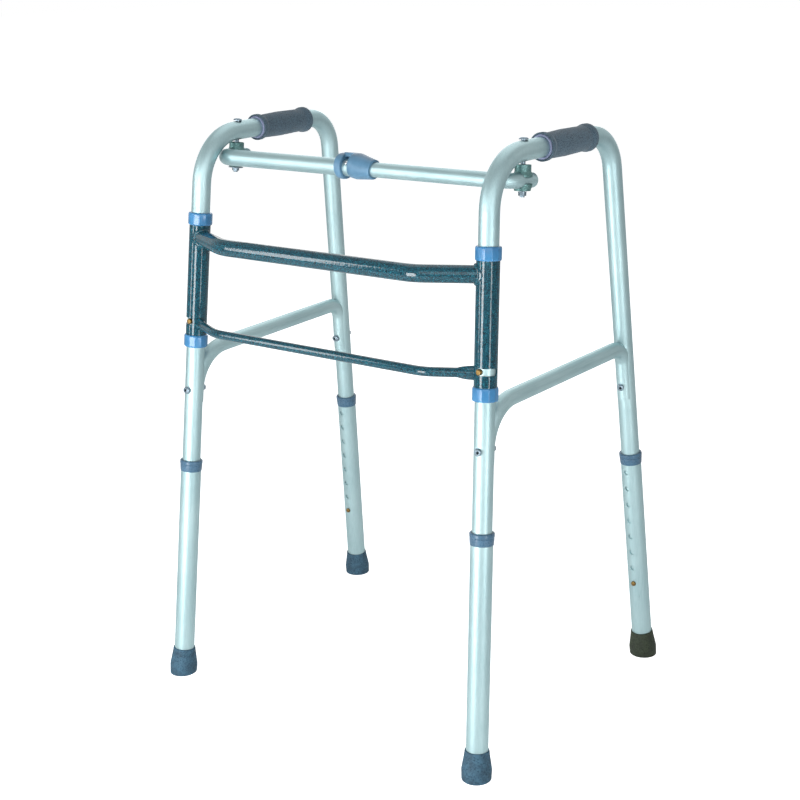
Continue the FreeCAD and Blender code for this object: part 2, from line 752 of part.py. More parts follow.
def build_top_bar():
    plane = top_bar_place()
    turn = Rotation(Y_AXIS, 90) * Rotation(Z_AXIS, 90)
    line = plane * Placement(Vector(0, 0, s.bar_reach.value), turn)
    for side, name, end in (("left", "outer_bar", s.mouth), ("right", "inner_bar", s.inner_end)):
        sign = SIDES[side]
        bent, hole = bar_half(side, sign, end)
        facing_out = Rotation(X_AXIS, s.pin_lean.value - 90)
        above = Placement(Vector(pin_at().value, 0, s.bar_reach.value), facing_out)
        pin_hole = rod(f"{name}_pin_hole", s.pin_dia + s.fit_gap * 2, s.outer_bar_od, above)
        finish(name, cut(name, bent, [hole, pin_hole]), plane)
        x_eye = (side_place(sign) * pivot_in_side()).Base.x
        tip = plane * Placement(Vector(x_eye, 0, -s.bar_tip.value), Rotation())
        finish(f"{name}_cap", lathe(f"{name}_cap", bar_cap(side)), tip)
        build_saddles(side, sign)
    build_latch(line)
    build_pin(line)


def build_pin(line):
    """A spring pin in the inner half holds the bar at its full length."""
    spot = line * Placement(Z_AXIS * pin_at().value, Rotation(Z_AXIS, s.pin_lean.value))
    pin = snap_button("latch_pin", s.pin_reach, s.pin_dia, s.pin_root, s.pin_rim)
    finish("latch_pin", pin, spot * turned(Y_AXIS, 90))
    bore = s.inner_bar_od / 2 - s.bar_wall
    spring = clip_spring("latch_pin_spring", s.pin_root, bore, s.pin_spring_rise)
    finish("latch_pin_spring", spring, spot)


def pin_at():
    """Where the latch pin stands along the bar, in the middle of the window."""
    return latch_start() - s.latch_window / 2


def latch_start():
    """Where the latch sleeve begins along the bar, a little way down the outer half."""
    return s.mouth - s.latch_lap


def build_latch(line):
    """A housing on the outer half's end: a ring and a tapered sleeve, joined by a bridge over a window."""
    leaning = Rotation(Z_AXIS, -s.latch_lean.value)
    place = line * Placement(Z_AXIS * latch_start().value, leaning)
    outside = fuse("latch_outside", [latch_taper(), latch_ring(), latch_bridge()])
    reach = s.latch_ring + s.latch_window + s.latch_sleeve
    start = -s.latch_window * 2 - s.latch_ring
    seat_length = s.mouth + s.seat_gap - latch_start() - start
    begin = Placement(Z_AXIS * start.value, Rotation())
    seat = rod("latch_seat", s.outer_bar_od + s.seat_gap * 2, seat_length, begin)
    bore = rod("latch_bore", s.inner_bar_od + s.fit_gap * 2, reach * 2, begin)
    finish("latch_housing", cut("latch_housing", outside, [seat, bore]), place)


def latch_taper():
    """The sleeve's outside, whose axis drops from above the bar's at its wide end to meet it at the other."""
    length, shoulder = s.latch_sleeve, s.latch_shoulder
    wide, small = s.latch_od / 2, s.latch_small_end / 2
    profile = [
        (0, 0),
        (wide - shoulder, 0, shoulder * 2),
        (wide, length * 0.25, length * 0.3),
        (small + shoulder, length * 0.9, length * 0.35),
        (small, length, shoulder),
        (0, length),
    ]
    taper = lathe("latch_taper", profile)
    droop = math.degrees(math.atan(s.latch_rise.value / length.value))
    taper.Placement = Placement(X_AXIS * s.latch_rise.value, Rotation(Y_AXIS, -droop))
    return taper


def latch_ring():
    far, near, shoulder = -s.latch_window - s.latch_ring, -s.latch_window, s.latch_shoulder
    radius = s.latch_ring_od / 2
    profile = [
        (0, far),
        (radius - shoulder, far, shoulder * 3),
        (radius, (far + near) / 2, s.latch_ring * 0.5),
        (radius - shoulder, near, shoulder * 3),
        (0, near),
    ]
    ring = lathe("latch_ring", profile)
    ring.Placement = Placement(X_AXIS * (s.latch_rise / 2).value, Rotation())
    return ring


def latch_bridge():
    """The part of a round bar above the window, from inside the ring to inside the sleeve."""
    start = -s.latch_window - s.latch_lap
    length = s.latch_window + s.latch_lap * 2
    rise = (s.latch_rise * 0.75).value
    spot = Placement(Vector(rise, 0, start.value), Rotation())
    whole = rod("latch_bridge_round", s.latch_ring_od, length, spot)
    box = doc.addObject("Part::Box", "latch_bridge_box")
    bind(box, Length=s.latch_od, Width=s.latch_bridge, Height=length)
    low = (s.outer_bar_od / 2 + s.latch_lap / 2).value
    box.Placement = Placement(Vector(low, -s.latch_bridge.value / 2, start.value), Rotation())
    bridge = doc.addObject("Part::MultiCommon", "latch_bridge")
    bridge.Shapes = [whole, box]
    return bridge


# ---- telescopic legs ------------------------------------------------------------------------------------


def leg_tube(name, leg):
    bore = s.leg_od - s.leg_wall * 2
    wall = lathe(
        name + "_wall",
        [
            (bore / 2, s.leg_base),
            (s.leg_od / 2, s.leg_base),
            (s.leg_od / 2, s.leg_top),
            (bore / 2, s.leg_top),
        ],
    )
    holes = []
    turn = Rotation(Y_AXIS, 90 * facing(leg))
    for i in range(int(s.hole_count.value)):
        height = s.top_hole - s.hole_pitch * i
        spot = Placement(Z_AXIS * height.value, turn)
        holes.append(rod(f"{name}_hole_{i + 1}", s.snap_dia + s.fit_gap * 2, s.leg_od, spot))
    return cut(name, wall, holes)


def foot(name, place):
    """A rubber ferrule, cut level with the floor so that it stands flat."""
    seat = s.leg_od / 2 + s.seat_gap
    base, neck, rise = s.foot_od / 2, s.foot_neck / 2, s.foot_rise
    under = s.foot_trim
    profile = [
        (0, -under),
        (base, -under),
        (base, rise * 0.18, 3),
        (neck + 1.5, rise * 0.42, 8),
        (neck, rise, 1.2),
        (seat, rise),
        (seat, s.leg_base - s.seat_gap),
        (0, s.leg_base - s.seat_gap),
    ]
    block = lathe(name + "_block", profile)
    floor = doc.addObject("Part::Box", name + "_floor")
    bind(floor, Length=s.foot_od * 2, Width=s.foot_od * 2, Height=s.foot_od)
    corner = Vector(-s.foot_od.value, -s.foot_od.value, -s.foot_od.value)
    centre = Vector(place.Base.x, place.Base.y, 0)
    floor.Placement = place.inverse() * Placement(centre + corner, Rotation())
    return cut(name, block, [floor])


def leg_collar():
    """A collar pressed over the leg tube's upper end, with a rim that guides the frame tube."""
    outer = s.clamp_od / 2
    seat = s.leg_od / 2 + s.seat_gap
    guide = s.frame_od / 2 + s.fit_gap
    rise, lip = s.clamp_rise, s.clamp_lip
    return [
        (seat, 0),
        (outer, 0, s.collar_round / 2),
        (outer, rise, s.collar_round),
        (guide, rise, s.collar_round / 2),
        (guide, rise - lip),
        (seat, rise - lip),
    ]


def build_leg(side, sign, leg):
    name = f"{side}_{leg}"
    place = leg_place(sign, leg)
    finish(f"{name}_leg_tube", leg_tube(f"{name}_leg_tube", leg), place)
    finish(f"{name}_foot", foot(f"{name}_foot", place), place)
    collar_base = s.leg_top.value + s.clamp_lip.value + s.seat_gap.value - s.clamp_rise.value
    spot = place * Placement(Z_AXIS * collar_base, Rotation())
    finish(f"{name}_collar", lathe(f"{name}_collar", leg_collar()), spot)
    height = Z_AXIS * snap_height().value
    spot = place * Placement(height, Rotation(Y_AXIS, 90 * facing(leg)))
    button = snap_button(f"{name}_snap_button", s.snap_reach, s.snap_dia, s.snap_root, s.snap_rim)
    finish(f"{name}_snap_button", button, spot)
    spot = place * Placement(height, Rotation(Z_AXIS, 90 - 90 * facing(leg)))
    finish(f"{name}_snap_spring", tube_spring(f"{name}_snap_spring"), spot)


# ---- crossbars ------------------------------------------------------------------------------------------


def sleeve(side, sign):
    bore = s.frame_od + s.fit_gap * 2
    outside = bore + s.sleeve_wall * 2
    wall = lathe(
        f"{side}_sleeve_wall",
        [
            (bore / 2, s.sleeve_base),
            (outside / 2, s.sleeve_base),
            (outside / 2, s.sleeve_top),
            (bore / 2, s.sleeve_top),
        ],
    )
    start = 180 if sign > 0 else 180 - s.slot_swing.value
    low = (s.stop_height - s.slot_rise / 2).value
    slot = rod(f"{side}_slot", s.frame_od * 2, s.slot_rise, angle=s.slot_swing)
    slot.Placement = Placement(Z_AXIS * low, Rotation(Z_AXIS, start))
    ends = []
    for angle, diameter in ((180, s.slot_eye), (180 + sign * s.slot_swing.value, s.slot_rise)):
        spot = Placement(Z_AXIS * s.stop_height.value, Rotation(Z_AXIS, angle)) * CROSSWISE
        ends.append(rod(f"{side}_slot_end_{len(ends) + 1}", diameter, s.frame_od, spot))
    return cut(f"{side}_sleeve", wall, [slot] + ends)


def leg_point(sign, height):
    """Where a front leg's axis passes a height above the floor."""
    place = leg_place(sign, "front")
    axis = place.Rotation.multVec(Z_AXIS)
    return place.Base + axis * (height.value / axis.z)


def crossbar(name, height, front, corner, bend, section, flat_ends=False):
    """A bar bowed forwards between the two sleeves and fitted to their walls."""
    end = leg_point(1, height)
    x_end, y_end = as_size(end.x), as_size(front_feet() - end.y)
    points = [(-x_end, y_end), (-corner, -front, bend), (corner, -front, bend), (x_end, y_end)]
    bar = sweep(name + "_bent", points, section)
    level = Placement(Vector(0, front_feet(), height.value), Rotation(X_AXIS, 90))
    pieces = [bar]
    if flat_ends:
        root = Vector(x_end.value, 0, y_end.value)
        bend_spot = Vector(corner.value, 0, -front.value)
        pieces += [flat_end(f"{name}_{side}_tail", sign, root, bend_spot) for side, sign in SIDES.items()]
    joined = fuse(name + "_joined", pieces) if flat_ends else bar
    tools = []
    outside = s.frame_od + s.fit_gap * 2 + s.sleeve_wall * 2
    for side, sign in SIDES.items():
        place = level.inverse() * leg_place(sign, "front")
        tools.append(rod(f"{name}_{side}_seat", outside, s.sleeve_top, place))
        beyond = doc.addObject("Part::Box", f"{name}_{side}_beyond")
        bind(beyond, Length=outside * 3, Width=outside * 3, Height=outside * 6)
        x_corner = x_end.value if sign > 0 else -x_end.value - outside.value * 3
        spot = Vector(x_corner, -outside.value * 1.5, y_end.value - outside.value * 3)
        beyond.Placement = Placement(spot, Rotation())
        tools.append(beyond)
    return cut(name, joined, tools), level


def flat_end(name, sign, root, bend_spot):
    """The bar's end is pressed tall and flat where it is welded to the sleeve."""
    start = Vector(sign * root.x, 0, root.z)
    run = (Vector(sign * bend_spot.x, 0, bend_spot.z) - start).normalize()
    tail = doc.addObject("Part::Ellipsoid", name)
    bind(tail, Radius1=s.tail_length, Radius2=s.tail_rise / 2, Radius3=s.tail_width / 2)
    turn = Rotation(Y_AXIS, run.cross(Y_AXIS), run, "ZXY")
    tail.Placement = Placement(start + run * (s.frame_od.value / 2), turn)
    return tail


def build_crossbars():
    for side, sign in SIDES.items():
        finish(f"{side}_sleeve", sleeve(side, sign), leg_place(sign, "front"))
    upper, level = crossbar(
        "upper_crossbar",
        s.upper_cross_height,
        s.upper_cross_front,
        s.upper_cross_corner,
        s.upper_cross_bend,
        tube_section(s.upper_cross_od, s.cross_wall),
    )
    finish("upper_crossbar", upper, level)
    lower, level = crossbar(
        "lower_crossbar",
        s.lower_cross_height,
        s.lower_cross_front,
        s.lower_cross_corner,
        s.lower_cross_bend,
        tube_section(s.lower_cross_od),
        flat_ends=True,
    )
    finish("lower_crossbar", lower, level)


def check_and_export():
    doc.recompute()
    failed = [o.Name for o in doc.Objects if {"Invalid", "Error"} & set(o.State)]
    if failed:
        raise RuntimeError(f"failed objects: {failed}")
    os.makedirs("parts", exist_ok=True)
    for node in nodes:
        if node.Shape.isNull() or not node.Shape.isValid():
            raise RuntimeError(f"bad shape: {node.Label}")
        node.Shape.exportStep(f"parts/{node.Label}.step")
        print(f"{node.Label}: {len(node.Shape.Solids)} solids, {node.Shape.Volume:.0f} mm3")


build_crossbars()
for side, sign in SIDES.items():
    build_side(side, sign)
    for leg in ("front", "rear"):
        build_leg(side, sign, leg)
build_top_bar()
check_and_export()
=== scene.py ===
import json
import math

import bpy
from mathutils import Matrix, Vector


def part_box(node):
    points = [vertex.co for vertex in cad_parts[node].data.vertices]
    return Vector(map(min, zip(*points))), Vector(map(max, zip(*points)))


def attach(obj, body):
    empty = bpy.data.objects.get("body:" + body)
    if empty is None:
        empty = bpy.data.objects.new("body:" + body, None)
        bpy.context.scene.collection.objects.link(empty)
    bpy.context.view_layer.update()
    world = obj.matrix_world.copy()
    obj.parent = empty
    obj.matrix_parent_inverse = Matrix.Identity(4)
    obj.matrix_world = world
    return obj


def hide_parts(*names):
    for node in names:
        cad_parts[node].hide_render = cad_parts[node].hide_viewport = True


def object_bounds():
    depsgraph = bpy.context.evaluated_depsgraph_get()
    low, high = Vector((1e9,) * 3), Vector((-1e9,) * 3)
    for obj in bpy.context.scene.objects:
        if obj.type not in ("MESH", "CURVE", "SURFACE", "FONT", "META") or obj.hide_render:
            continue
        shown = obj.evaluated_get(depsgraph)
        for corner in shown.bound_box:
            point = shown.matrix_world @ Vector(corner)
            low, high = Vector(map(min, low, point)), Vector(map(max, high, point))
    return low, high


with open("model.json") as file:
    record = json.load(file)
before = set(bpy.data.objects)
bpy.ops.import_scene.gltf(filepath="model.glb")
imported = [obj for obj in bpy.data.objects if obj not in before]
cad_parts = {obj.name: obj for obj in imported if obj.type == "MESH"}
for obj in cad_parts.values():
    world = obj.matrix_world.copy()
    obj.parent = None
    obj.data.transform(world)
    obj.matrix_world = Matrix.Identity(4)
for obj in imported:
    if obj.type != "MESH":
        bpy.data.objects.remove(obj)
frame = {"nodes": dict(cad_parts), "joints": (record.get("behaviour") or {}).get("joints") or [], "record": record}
CAD_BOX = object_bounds()

bl_info = {
    "name": "Folding walking frame",
    "version": (1, 0, 0),
    "blender": (4, 5, 0),
    "location": "3D View > Sidebar > Walking frame",
    "description": "Finishes a folding walking frame around its construction model",
    "category": "Object",
}

MM = 0.001
SIDES = ("left", "right")
LEGS = ("left_front", "left_rear", "right_front", "right_rear")

FIT = 0.1 * MM  # room between a moulded piece and the one that it meets
PIN_HOLE = 0.3 * MM  # radius of the small cap that closes a turned metal piece
SMOOTH_ANGLE = 35  # degrees; faces that meet at less are shaded as one surface


# ---- what a user would change ---------------------------------------------------------------------------


def colour_property(name, description, default):
    return bpy.props.StringProperty(name=name, description=description, default=default)


def length_property(name, description, default):
    return bpy.props.FloatProperty(
        name=name, description=description, default=default, min=0, unit="LENGTH", subtype="DISTANCE"
    )


def angle_property(name, description, default):
    return bpy.props.FloatProperty(name=name, description=description, default=default, subtype="ANGLE")


def power_property(name, description, default):
    return bpy.props.FloatProperty(
        name=name, description=description, default=default, min=0, unit="POWER"
    )


def share_property(name, description, default):
    return bpy.props.FloatProperty(
        name=name, description=description, default=default, min=0, max=1, subtype="FACTOR"
    )


class WalkerColours(bpy.types.PropertyGroup):
    """sRGB hex colours of the finishes."""

    tube: colour_property("Tubes", "Clear anodised aluminium", "#A9C3C6")
    tube_shade: colour_property("Tube shade", "The darker tone that drifts through the tubes", "#9DB9BD")
    tube_line: colour_property("Tube lines", "The pale lines along the tubes", "#BDD2D5")
    tube_scuff: colour_property("Tube scuffs", "The dull scuffs on the tubes", "#75878B")
    paint: colour_property("Paint", "Hammertone paint, the cells", "#093A4A")
    paint_fleck: colour_property("Paint flecks", "Hammertone paint, the raised flecks", "#2A8294")
    paint_pit: colour_property("Paint pits", "Hammertone paint, the lines between the cells", "#02161F")
    ring: colour_property("Stop rings", "Glossy moulded plastic", "#3F80B0")
    ring_shade: colour_property("Stop ring shade", "The rings' flow marks", "#3774A2")
    collar: colour_property("Leg collars", "Moulded plastic", "#456A84")
    collar_shade: colour_property("Leg collar shade", "The collars' flow marks", "#3A5B73")
    latch: colour_property("Latch", "Moulded plastic", "#5C86A4")
    latch_shade: colour_property("Latch shade", "The latch's flow marks", "#4F7894")
    grip: colour_property("Grip", "Pebbled soft plastic, the raised pebbles", "#587080")
    grip_pit: colour_property("Grip pits", "Pebbled soft plastic, between the pebbles", "#314450")
    grip_collar: colour_property("Grip collar", "Smooth plastic", "#9AA2C0")
    grip_collar_shade: colour_property("Grip collar shade", "Its flow marks", "#8A93B4")
    foot: colour_property("Feet", "Rubber", "#375E74")
    foot_speck: colour_property("Foot specks", "The darker filler in the rubber", "#1D3747")
    odd_foot: colour_property("Odd foot", "Rubber of the right rear foot", "#232F1A")
    odd_foot_speck: colour_property("Odd foot specks", "The darker filler in that rubber", "#131A0F")
    brass: colour_property("Buttons", "Brass", "#8E7446")
    brass_shade: colour_property("Button shade", "The brass's duller lows", "#6A5433")
    zinc: colour_property("Fasteners", "Zinc plated steel", "#93A3AE")
    zinc_shade: colour_property("Fastener shade", "The zinc's duller lows", "#74858F")
    # painted shade: the two colours below darken a plate in each bolt head's socket, which stands for the shade in
    # the hole
    socket_shadow: colour_property("Recesses", "Blackened steel in the bolt heads", "#2A3238")
    socket_shadow_lows: colour_property("Recess shade", "The blackened steel's duller lows", "#161B1F")
    spring: colour_property("Springs", "Tempered steel", "#8F979E")
    spring_shade: colour_property("Spring shade", "The springs' duller lows", "#767E86")
    pin: colour_property("Latch pin", "Nickel plated steel", "#E2E7EA")
    pin_shade: colour_property("Latch pin shade", "The nickel's duller lows", "#C4CCD0")
    saddle: colour_property("Saddles", "Cast and tumbled aluminium", "#6F9291")
    saddle_shade: colour_property("Saddle shade", "The castings' duller lows", "#5A7B7A")
    floor: colour_property("Floor", "Plain pale floor", "#F7F8F8")
    sky: colour_property("Sky", "The soft light from all round", "#F2F7FA")


class WalkerSizes(bpy.types.PropertyGroup):
    """Sizes of the detail, in metres."""

    edge: length_property("Edge", "Radius of moulded edges", 0.8 * MM)
    weld: length_property("Weld", "Half the width of a weld bead", 2.6 * MM)
    hammer: length_property("Hammer", "Width of a cell of the hammertone paint", 2.4 * MM)
    pebble: length_property("Pebble", "Width of a pebble of the grips", 1.1 * MM)
    frost: length_property("Frost", "Grain of the anodised surface", 0.9 * MM)
    speck: length_property("Speck", "Width of a speck in the rubber", 2.2 * MM)
    collar: length_property("Grip collar", "Width of the smooth collar at a grip's front end", 7 * MM)
    facets: bpy.props.IntProperty(name="Facets", description="Flats round a stop ring", default=12, min=6)


class WalkerStudio(bpy.types.PropertyGroup):
    """Camera and lamps."""

    azimuth: angle_property("Azimuth", "Camera's turn round the object", math.radians(36.96))
    elevation: angle_property("Elevation", "Camera's height above level", math.radians(17.07))
    roll: angle_property("Roll", "Camera's turn about its own line of sight", -0.023)
    distance: length_property("Distance", "Camera to the point that it looks at", 2.02525)
    lens: bpy.props.FloatProperty(
        name="Lens", description="Focal length", default=66.46, min=10, unit="CAMERA"
    )
    aim: bpy.props.FloatVectorProperty(
        name="Aim",
        description="What the camera looks at, from the middle of the object's box",
        default=(0.016, -0.035, 0.0197),
        subtype="TRANSLATION",
        unit="LENGTH",
    )
    key: power_property("Key", "Power of the key lamp in watts", 17)
    front: power_property("Front", "Power of the broad front lamp in watts", 16)
    fill: power_property("Fill", "Power of the fill lamp in watts", 6)
    side: power_property("Side", "Power of the side lamp in watts", 9)
    back: power_property("Back", "Power of the lamp behind in watts", 7)
    overhead: power_property("Overhead", "Power of the broad lamp above in watts", 14)
    sky: share_property("Sky", "Strength of the light from all round", 0.24)
    ceiling: share_property("Ceiling", "Brightness of the ceiling that the metal reflects", 0.72)
    walls: share_property("Walls", "Brightness of the side walls that the metal reflects", 0.72)


# ---- measuring the construction model -------------------------------------------------------------------


def joint(name):
    return next(j for j in frame["joints"] if j["name"] == name)


def mount(name):
    return next(m for m in frame["record"]["mounts"] if m["name"] == name)


def leg_line(leg):
    """A leg's foot and the direction up its axis."""
    return Vector(mount(f"{leg}_foot_sole")["pos_m"]), -Vector(joint(f"{leg}_height")["axis"]).normalized()


def handle_line(side):
    """The middle of a grip and the direction from its front end to its rear end."""
    low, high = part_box(f"{side}_grip")
    front, rear = leg_line(f"{side}_front")[0], leg_line(f"{side}_rear")[0]
    return (low + high) / 2, (rear - front).normalized()


def measure(points, start, axis):
    """Lowest and highest distance of some points along an axis, and their least and greatest radius."""
    runs = [(p - start).dot(axis) for p in points]
    radii = [(p - start - axis * run).length for p, run in zip(points, runs)]
    return min(runs), max(runs), min(radii), max(radii)


def node_points(node):
    return [v.co.copy() for v in frame["nodes"][node].data.vertices]


def middle_of(points):
    return sum(points, Vector()) / len(points)


def axis_place(start, axis):
    """A place whose Z axis runs along the axis."""
    return Matrix.Translation(start) @ axis.to_track_quat("Z", "Y").to_matrix().to_4x4()


# ---- modelling ------------------------------------------------------------------------------------------


def round_profile(points, steps=5):
    """Profile points, where one with a third value is rounded by about that radius."""
    longest = 0.49  # a rounding takes less than half of the run on either side
    spots = [Vector(p[:2]) for p in points]
    made = []
    for i, point in enumerate(points):
        if len(point) < 3:
            made.append(spots[i])
            continue
        back, ahead = spots[i - 1] - spots[i], spots[(i + 1) % len(spots)] - spots[i]
        half = back.angle(ahead) / 2
        run = min(point[2] / math.tan(half), back.length * longest, ahead.length * longest)
        first, last = spots[i] + back.normalized() * run, spots[i] + ahead.normalized() * run
        for step in range(steps + 1):
            t = step / steps
            made.append(first * (1 - t) ** 2 + spots[i] * (2 * t * (1 - t)) + last * t**2)
    return made


def turn_shape(name, profile, place, sides=72, hollow=True):
    """A turned piece: a circle extruded and scaled from ring to ring of (radius, height) points."""
    bpy.ops.object.select_all(action="DESELECT")
    radius, height = profile[0]
    bpy.ops.mesh.primitive_circle_add(
        vertices=sides, radius=radius, fill_type="NOTHING", location=(0, 0, height)
    )
    piece = bpy.context.object
    piece.name = piece.data.name = name
    bpy.ops.object.mode_set(mode="EDIT")
    bpy.ops.mesh.select_mode(type="EDGE")
    bpy.ops.mesh.select_all(action="SELECT")
    for before, after in zip(profile, profile[1:]):
        bpy.ops.mesh.extrude_edges_move(TRANSFORM_OT_translate={"value": (0, 0, after[1] - before[1])})
        scale = after[0] / before[0]
        bpy.ops.transform.resize(value=(scale, scale, 1), center_override=(0, 0, after[1]))
    bpy.ops.mesh.select_all(action="DESELECT")
    bpy.ops.mesh.select_non_manifold(extend=False)
    if hollow:
        bpy.ops.mesh.bridge_edge_loops()
    else:
        bpy.ops.mesh.fill_holes(sides=0)
    bpy.ops.mesh.select_all(action="SELECT")
    bpy.ops.mesh.normals_make_consistent(inside=False)
    bpy.ops.object.mode_set(mode="OBJECT")
    bpy.ops.object.transform_apply(location=True, rotation=True, scale=True)
    settle(piece, place)
    return piece


def make_active(piece):
    bpy.ops.object.select_all(action="DESELECT")
    piece.select_set(True)
    bpy.context.view_layer.objects.active = piece


def settle(piece, place):
    """Puts a piece in its place, with the place in its mesh."""
    make_active(piece)
    piece.matrix_world = place
    bpy.ops.object.transform_apply(location=True, rotation=True, scale=True)


def round_edges(piece, width, segments, angle):
    """Bevels the edges whose faces meet at more than the angle, in degrees."""
    make_active(piece)
    bevel = piece.modifiers.new("Bevel", "BEVEL")
    bevel.width = width
    bevel.segments = segments
    bevel.limit_method = "ANGLE"
    bevel.angle_limit = math.radians(angle)
    bpy.ops.object.modifier_apply(modifier=bevel.name)


def shade(piece):
    """Shades a piece smooth, apart from its sharp edges."""
    make_active(piece)
    bpy.ops.object.shade_smooth_by_angle(angle=math.radians(SMOOTH_ANGLE))


def add_piece(piece, body, material, replaced=()):
    """Gives a finished piece its material, its body and what it stands for."""
    piece.data.materials.clear()
    piece.data.materials.append(material)
    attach(piece, body)
    if replaced:
        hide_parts(*replaced)


def cover(nodes, material):
    """Gives construction nodes a material."""
    for name in nodes:
        node = frame["nodes"][name]
        node.data.materials.clear()
        node.data.materials.append(material)


# ---- materials ------------------------------------------------------------------------------------------

# A noise stays mostly between these, so a range from the one to the other uses all of its contrast.
SPREAD = {"From Min": 0.35, "From Max": 0.65}
# The noise's upper part alone, for specks and flecks that stand apart.
PEAKS = {"From Min": 0.5, "From Max": 0.66}
# The inputs of a Mix node that has its colours in use.
FACTOR, FIRST, SECOND = 0, 6, 7


def linear(hex_colour):
    """An sRGB hex colour as the linear values that a socket takes."""
    channels = [int(hex_colour[i : i + 2], 16) / 255 for i in (1, 3, 5)]
    return [c / 12.92 if c <= 0.04045 else ((c + 0.055) / 1.055) ** 2.4 for c in channels] + [1.0]


def add_node(tree, kind, inputs=None, output=None, **settings):
    """Adds a node with its settings and gives its named output, or else the first one in use.

    An input takes a value, a hex colour, or the output of another node, which is linked.
    """
    node = tree.nodes.new(kind)
    for name, value in settings.items():
        setattr(node, name, value)
    for key, value in (inputs or {}).items():
        if isinstance(value, bpy.types.NodeSocket):
            tree.links.new(value, node.inputs[key])
        else:
            node.inputs[key].default_value = linear(value) if isinstance(value, str) else value
    if output:
        return node.outputs[output]
    return next((socket for socket in node.outputs if socket.enabled), None)


def new_material(name):
    material = bpy.data.materials.new(name)
    material.use_nodes = True
    material.node_tree.nodes.clear()
    return material, material.node_tree


def anodised_aluminium(colours, sizes, name, drawn):
    # aluminium tube, extruded, etched and clear anodised: the eye gets a soft satin silver with broad
    # highlights, faint lines along the tube, a frosted grain and a few dull scuffs; drawn is the
    # pattern's scale along each axis, small along the tube
    tone_width, line_width, scuff_width = 90 * MM, 1.3 * MM, 5 * MM
    short = [max(scale, 0.12) for scale in drawn]  # the scuffs are drawn out less than the lines
    material, tree = new_material(name)
    place = add_node(tree, "ShaderNodeTexCoord", output="Object")
    along = add_node(tree, "ShaderNodeMapping", {"Vector": place, "Scale": drawn})
    smeared = add_node(tree, "ShaderNodeMapping", {"Vector": place, "Scale": short})
    tone = add_node(tree, "ShaderNodeTexNoise", {"Vector": place, "Scale": 1 / tone_width, "Detail": 2})
    lines = add_node(tree, "ShaderNodeTexNoise", {"Vector": along, "Scale": 1 / line_width, "Detail": 2})
    # the real grain is too fine to show, so it is drawn coarse enough to be seen
    grain = add_node(tree, "ShaderNodeTexNoise", {"Vector": place, "Scale": 1 / sizes.frost, "Detail": 2})
    scuff = add_node(tree, "ShaderNodeTexNoise", {"Vector": smeared, "Scale": 1 / scuff_width, "Detail": 6})
    drift = add_node(tree, "ShaderNodeMapRange", {"Value": tone, **SPREAD})
    clean = add_node(tree, "ShaderNodeMix", {
        FACTOR: drift,
        FIRST: colours.tube,
        SECOND: colours.tube_shade,
    }, data_type="RGBA")
    faint = add_node(tree, "ShaderNodeMapRange", {"Value": lines, **SPREAD, "To Max": 0.3})
    lined = add_node(
        tree, "ShaderNodeMix", {FACTOR: faint, FIRST: clean, SECOND: colours.tube_line}, data_type="RGBA"
    )
    few = add_node(
        tree, "ShaderNodeMapRange", {"Value": scuff, "From Min": 0.7, "From Max": 0.76, "To Max": 0.4}
    )
    worn = add_node(
        tree, "ShaderNodeMix", {FACTOR: few, FIRST: lined, SECOND: colours.tube_scuff}, data_type="RGBA"
    )
    satin = add_node(tree, "ShaderNodeMapRange", {"Value": grain, **SPREAD, "To Min": 0.42, "To Max": 0.52})
    frosted = add_node(tree, "ShaderNodeBump", {"Height": grain, "Distance": 0.035 * MM, "Strength": 0.5})
    ridged = add_node(
        tree, "ShaderNodeBump", {"Height": lines, "Distance": 0.03 * MM, "Strength": 0.2, "Normal": frosted}
    )
    shader = add_node(tree, "ShaderNodeBsdfPrincipled", {
        "Base Color": worn,
        "Metallic": 0.9,
        "Roughness": satin,
        "Normal": ridged,
    })
    add_node(tree, "ShaderNodeOutputMaterial", {"Surface": shader})
    return material


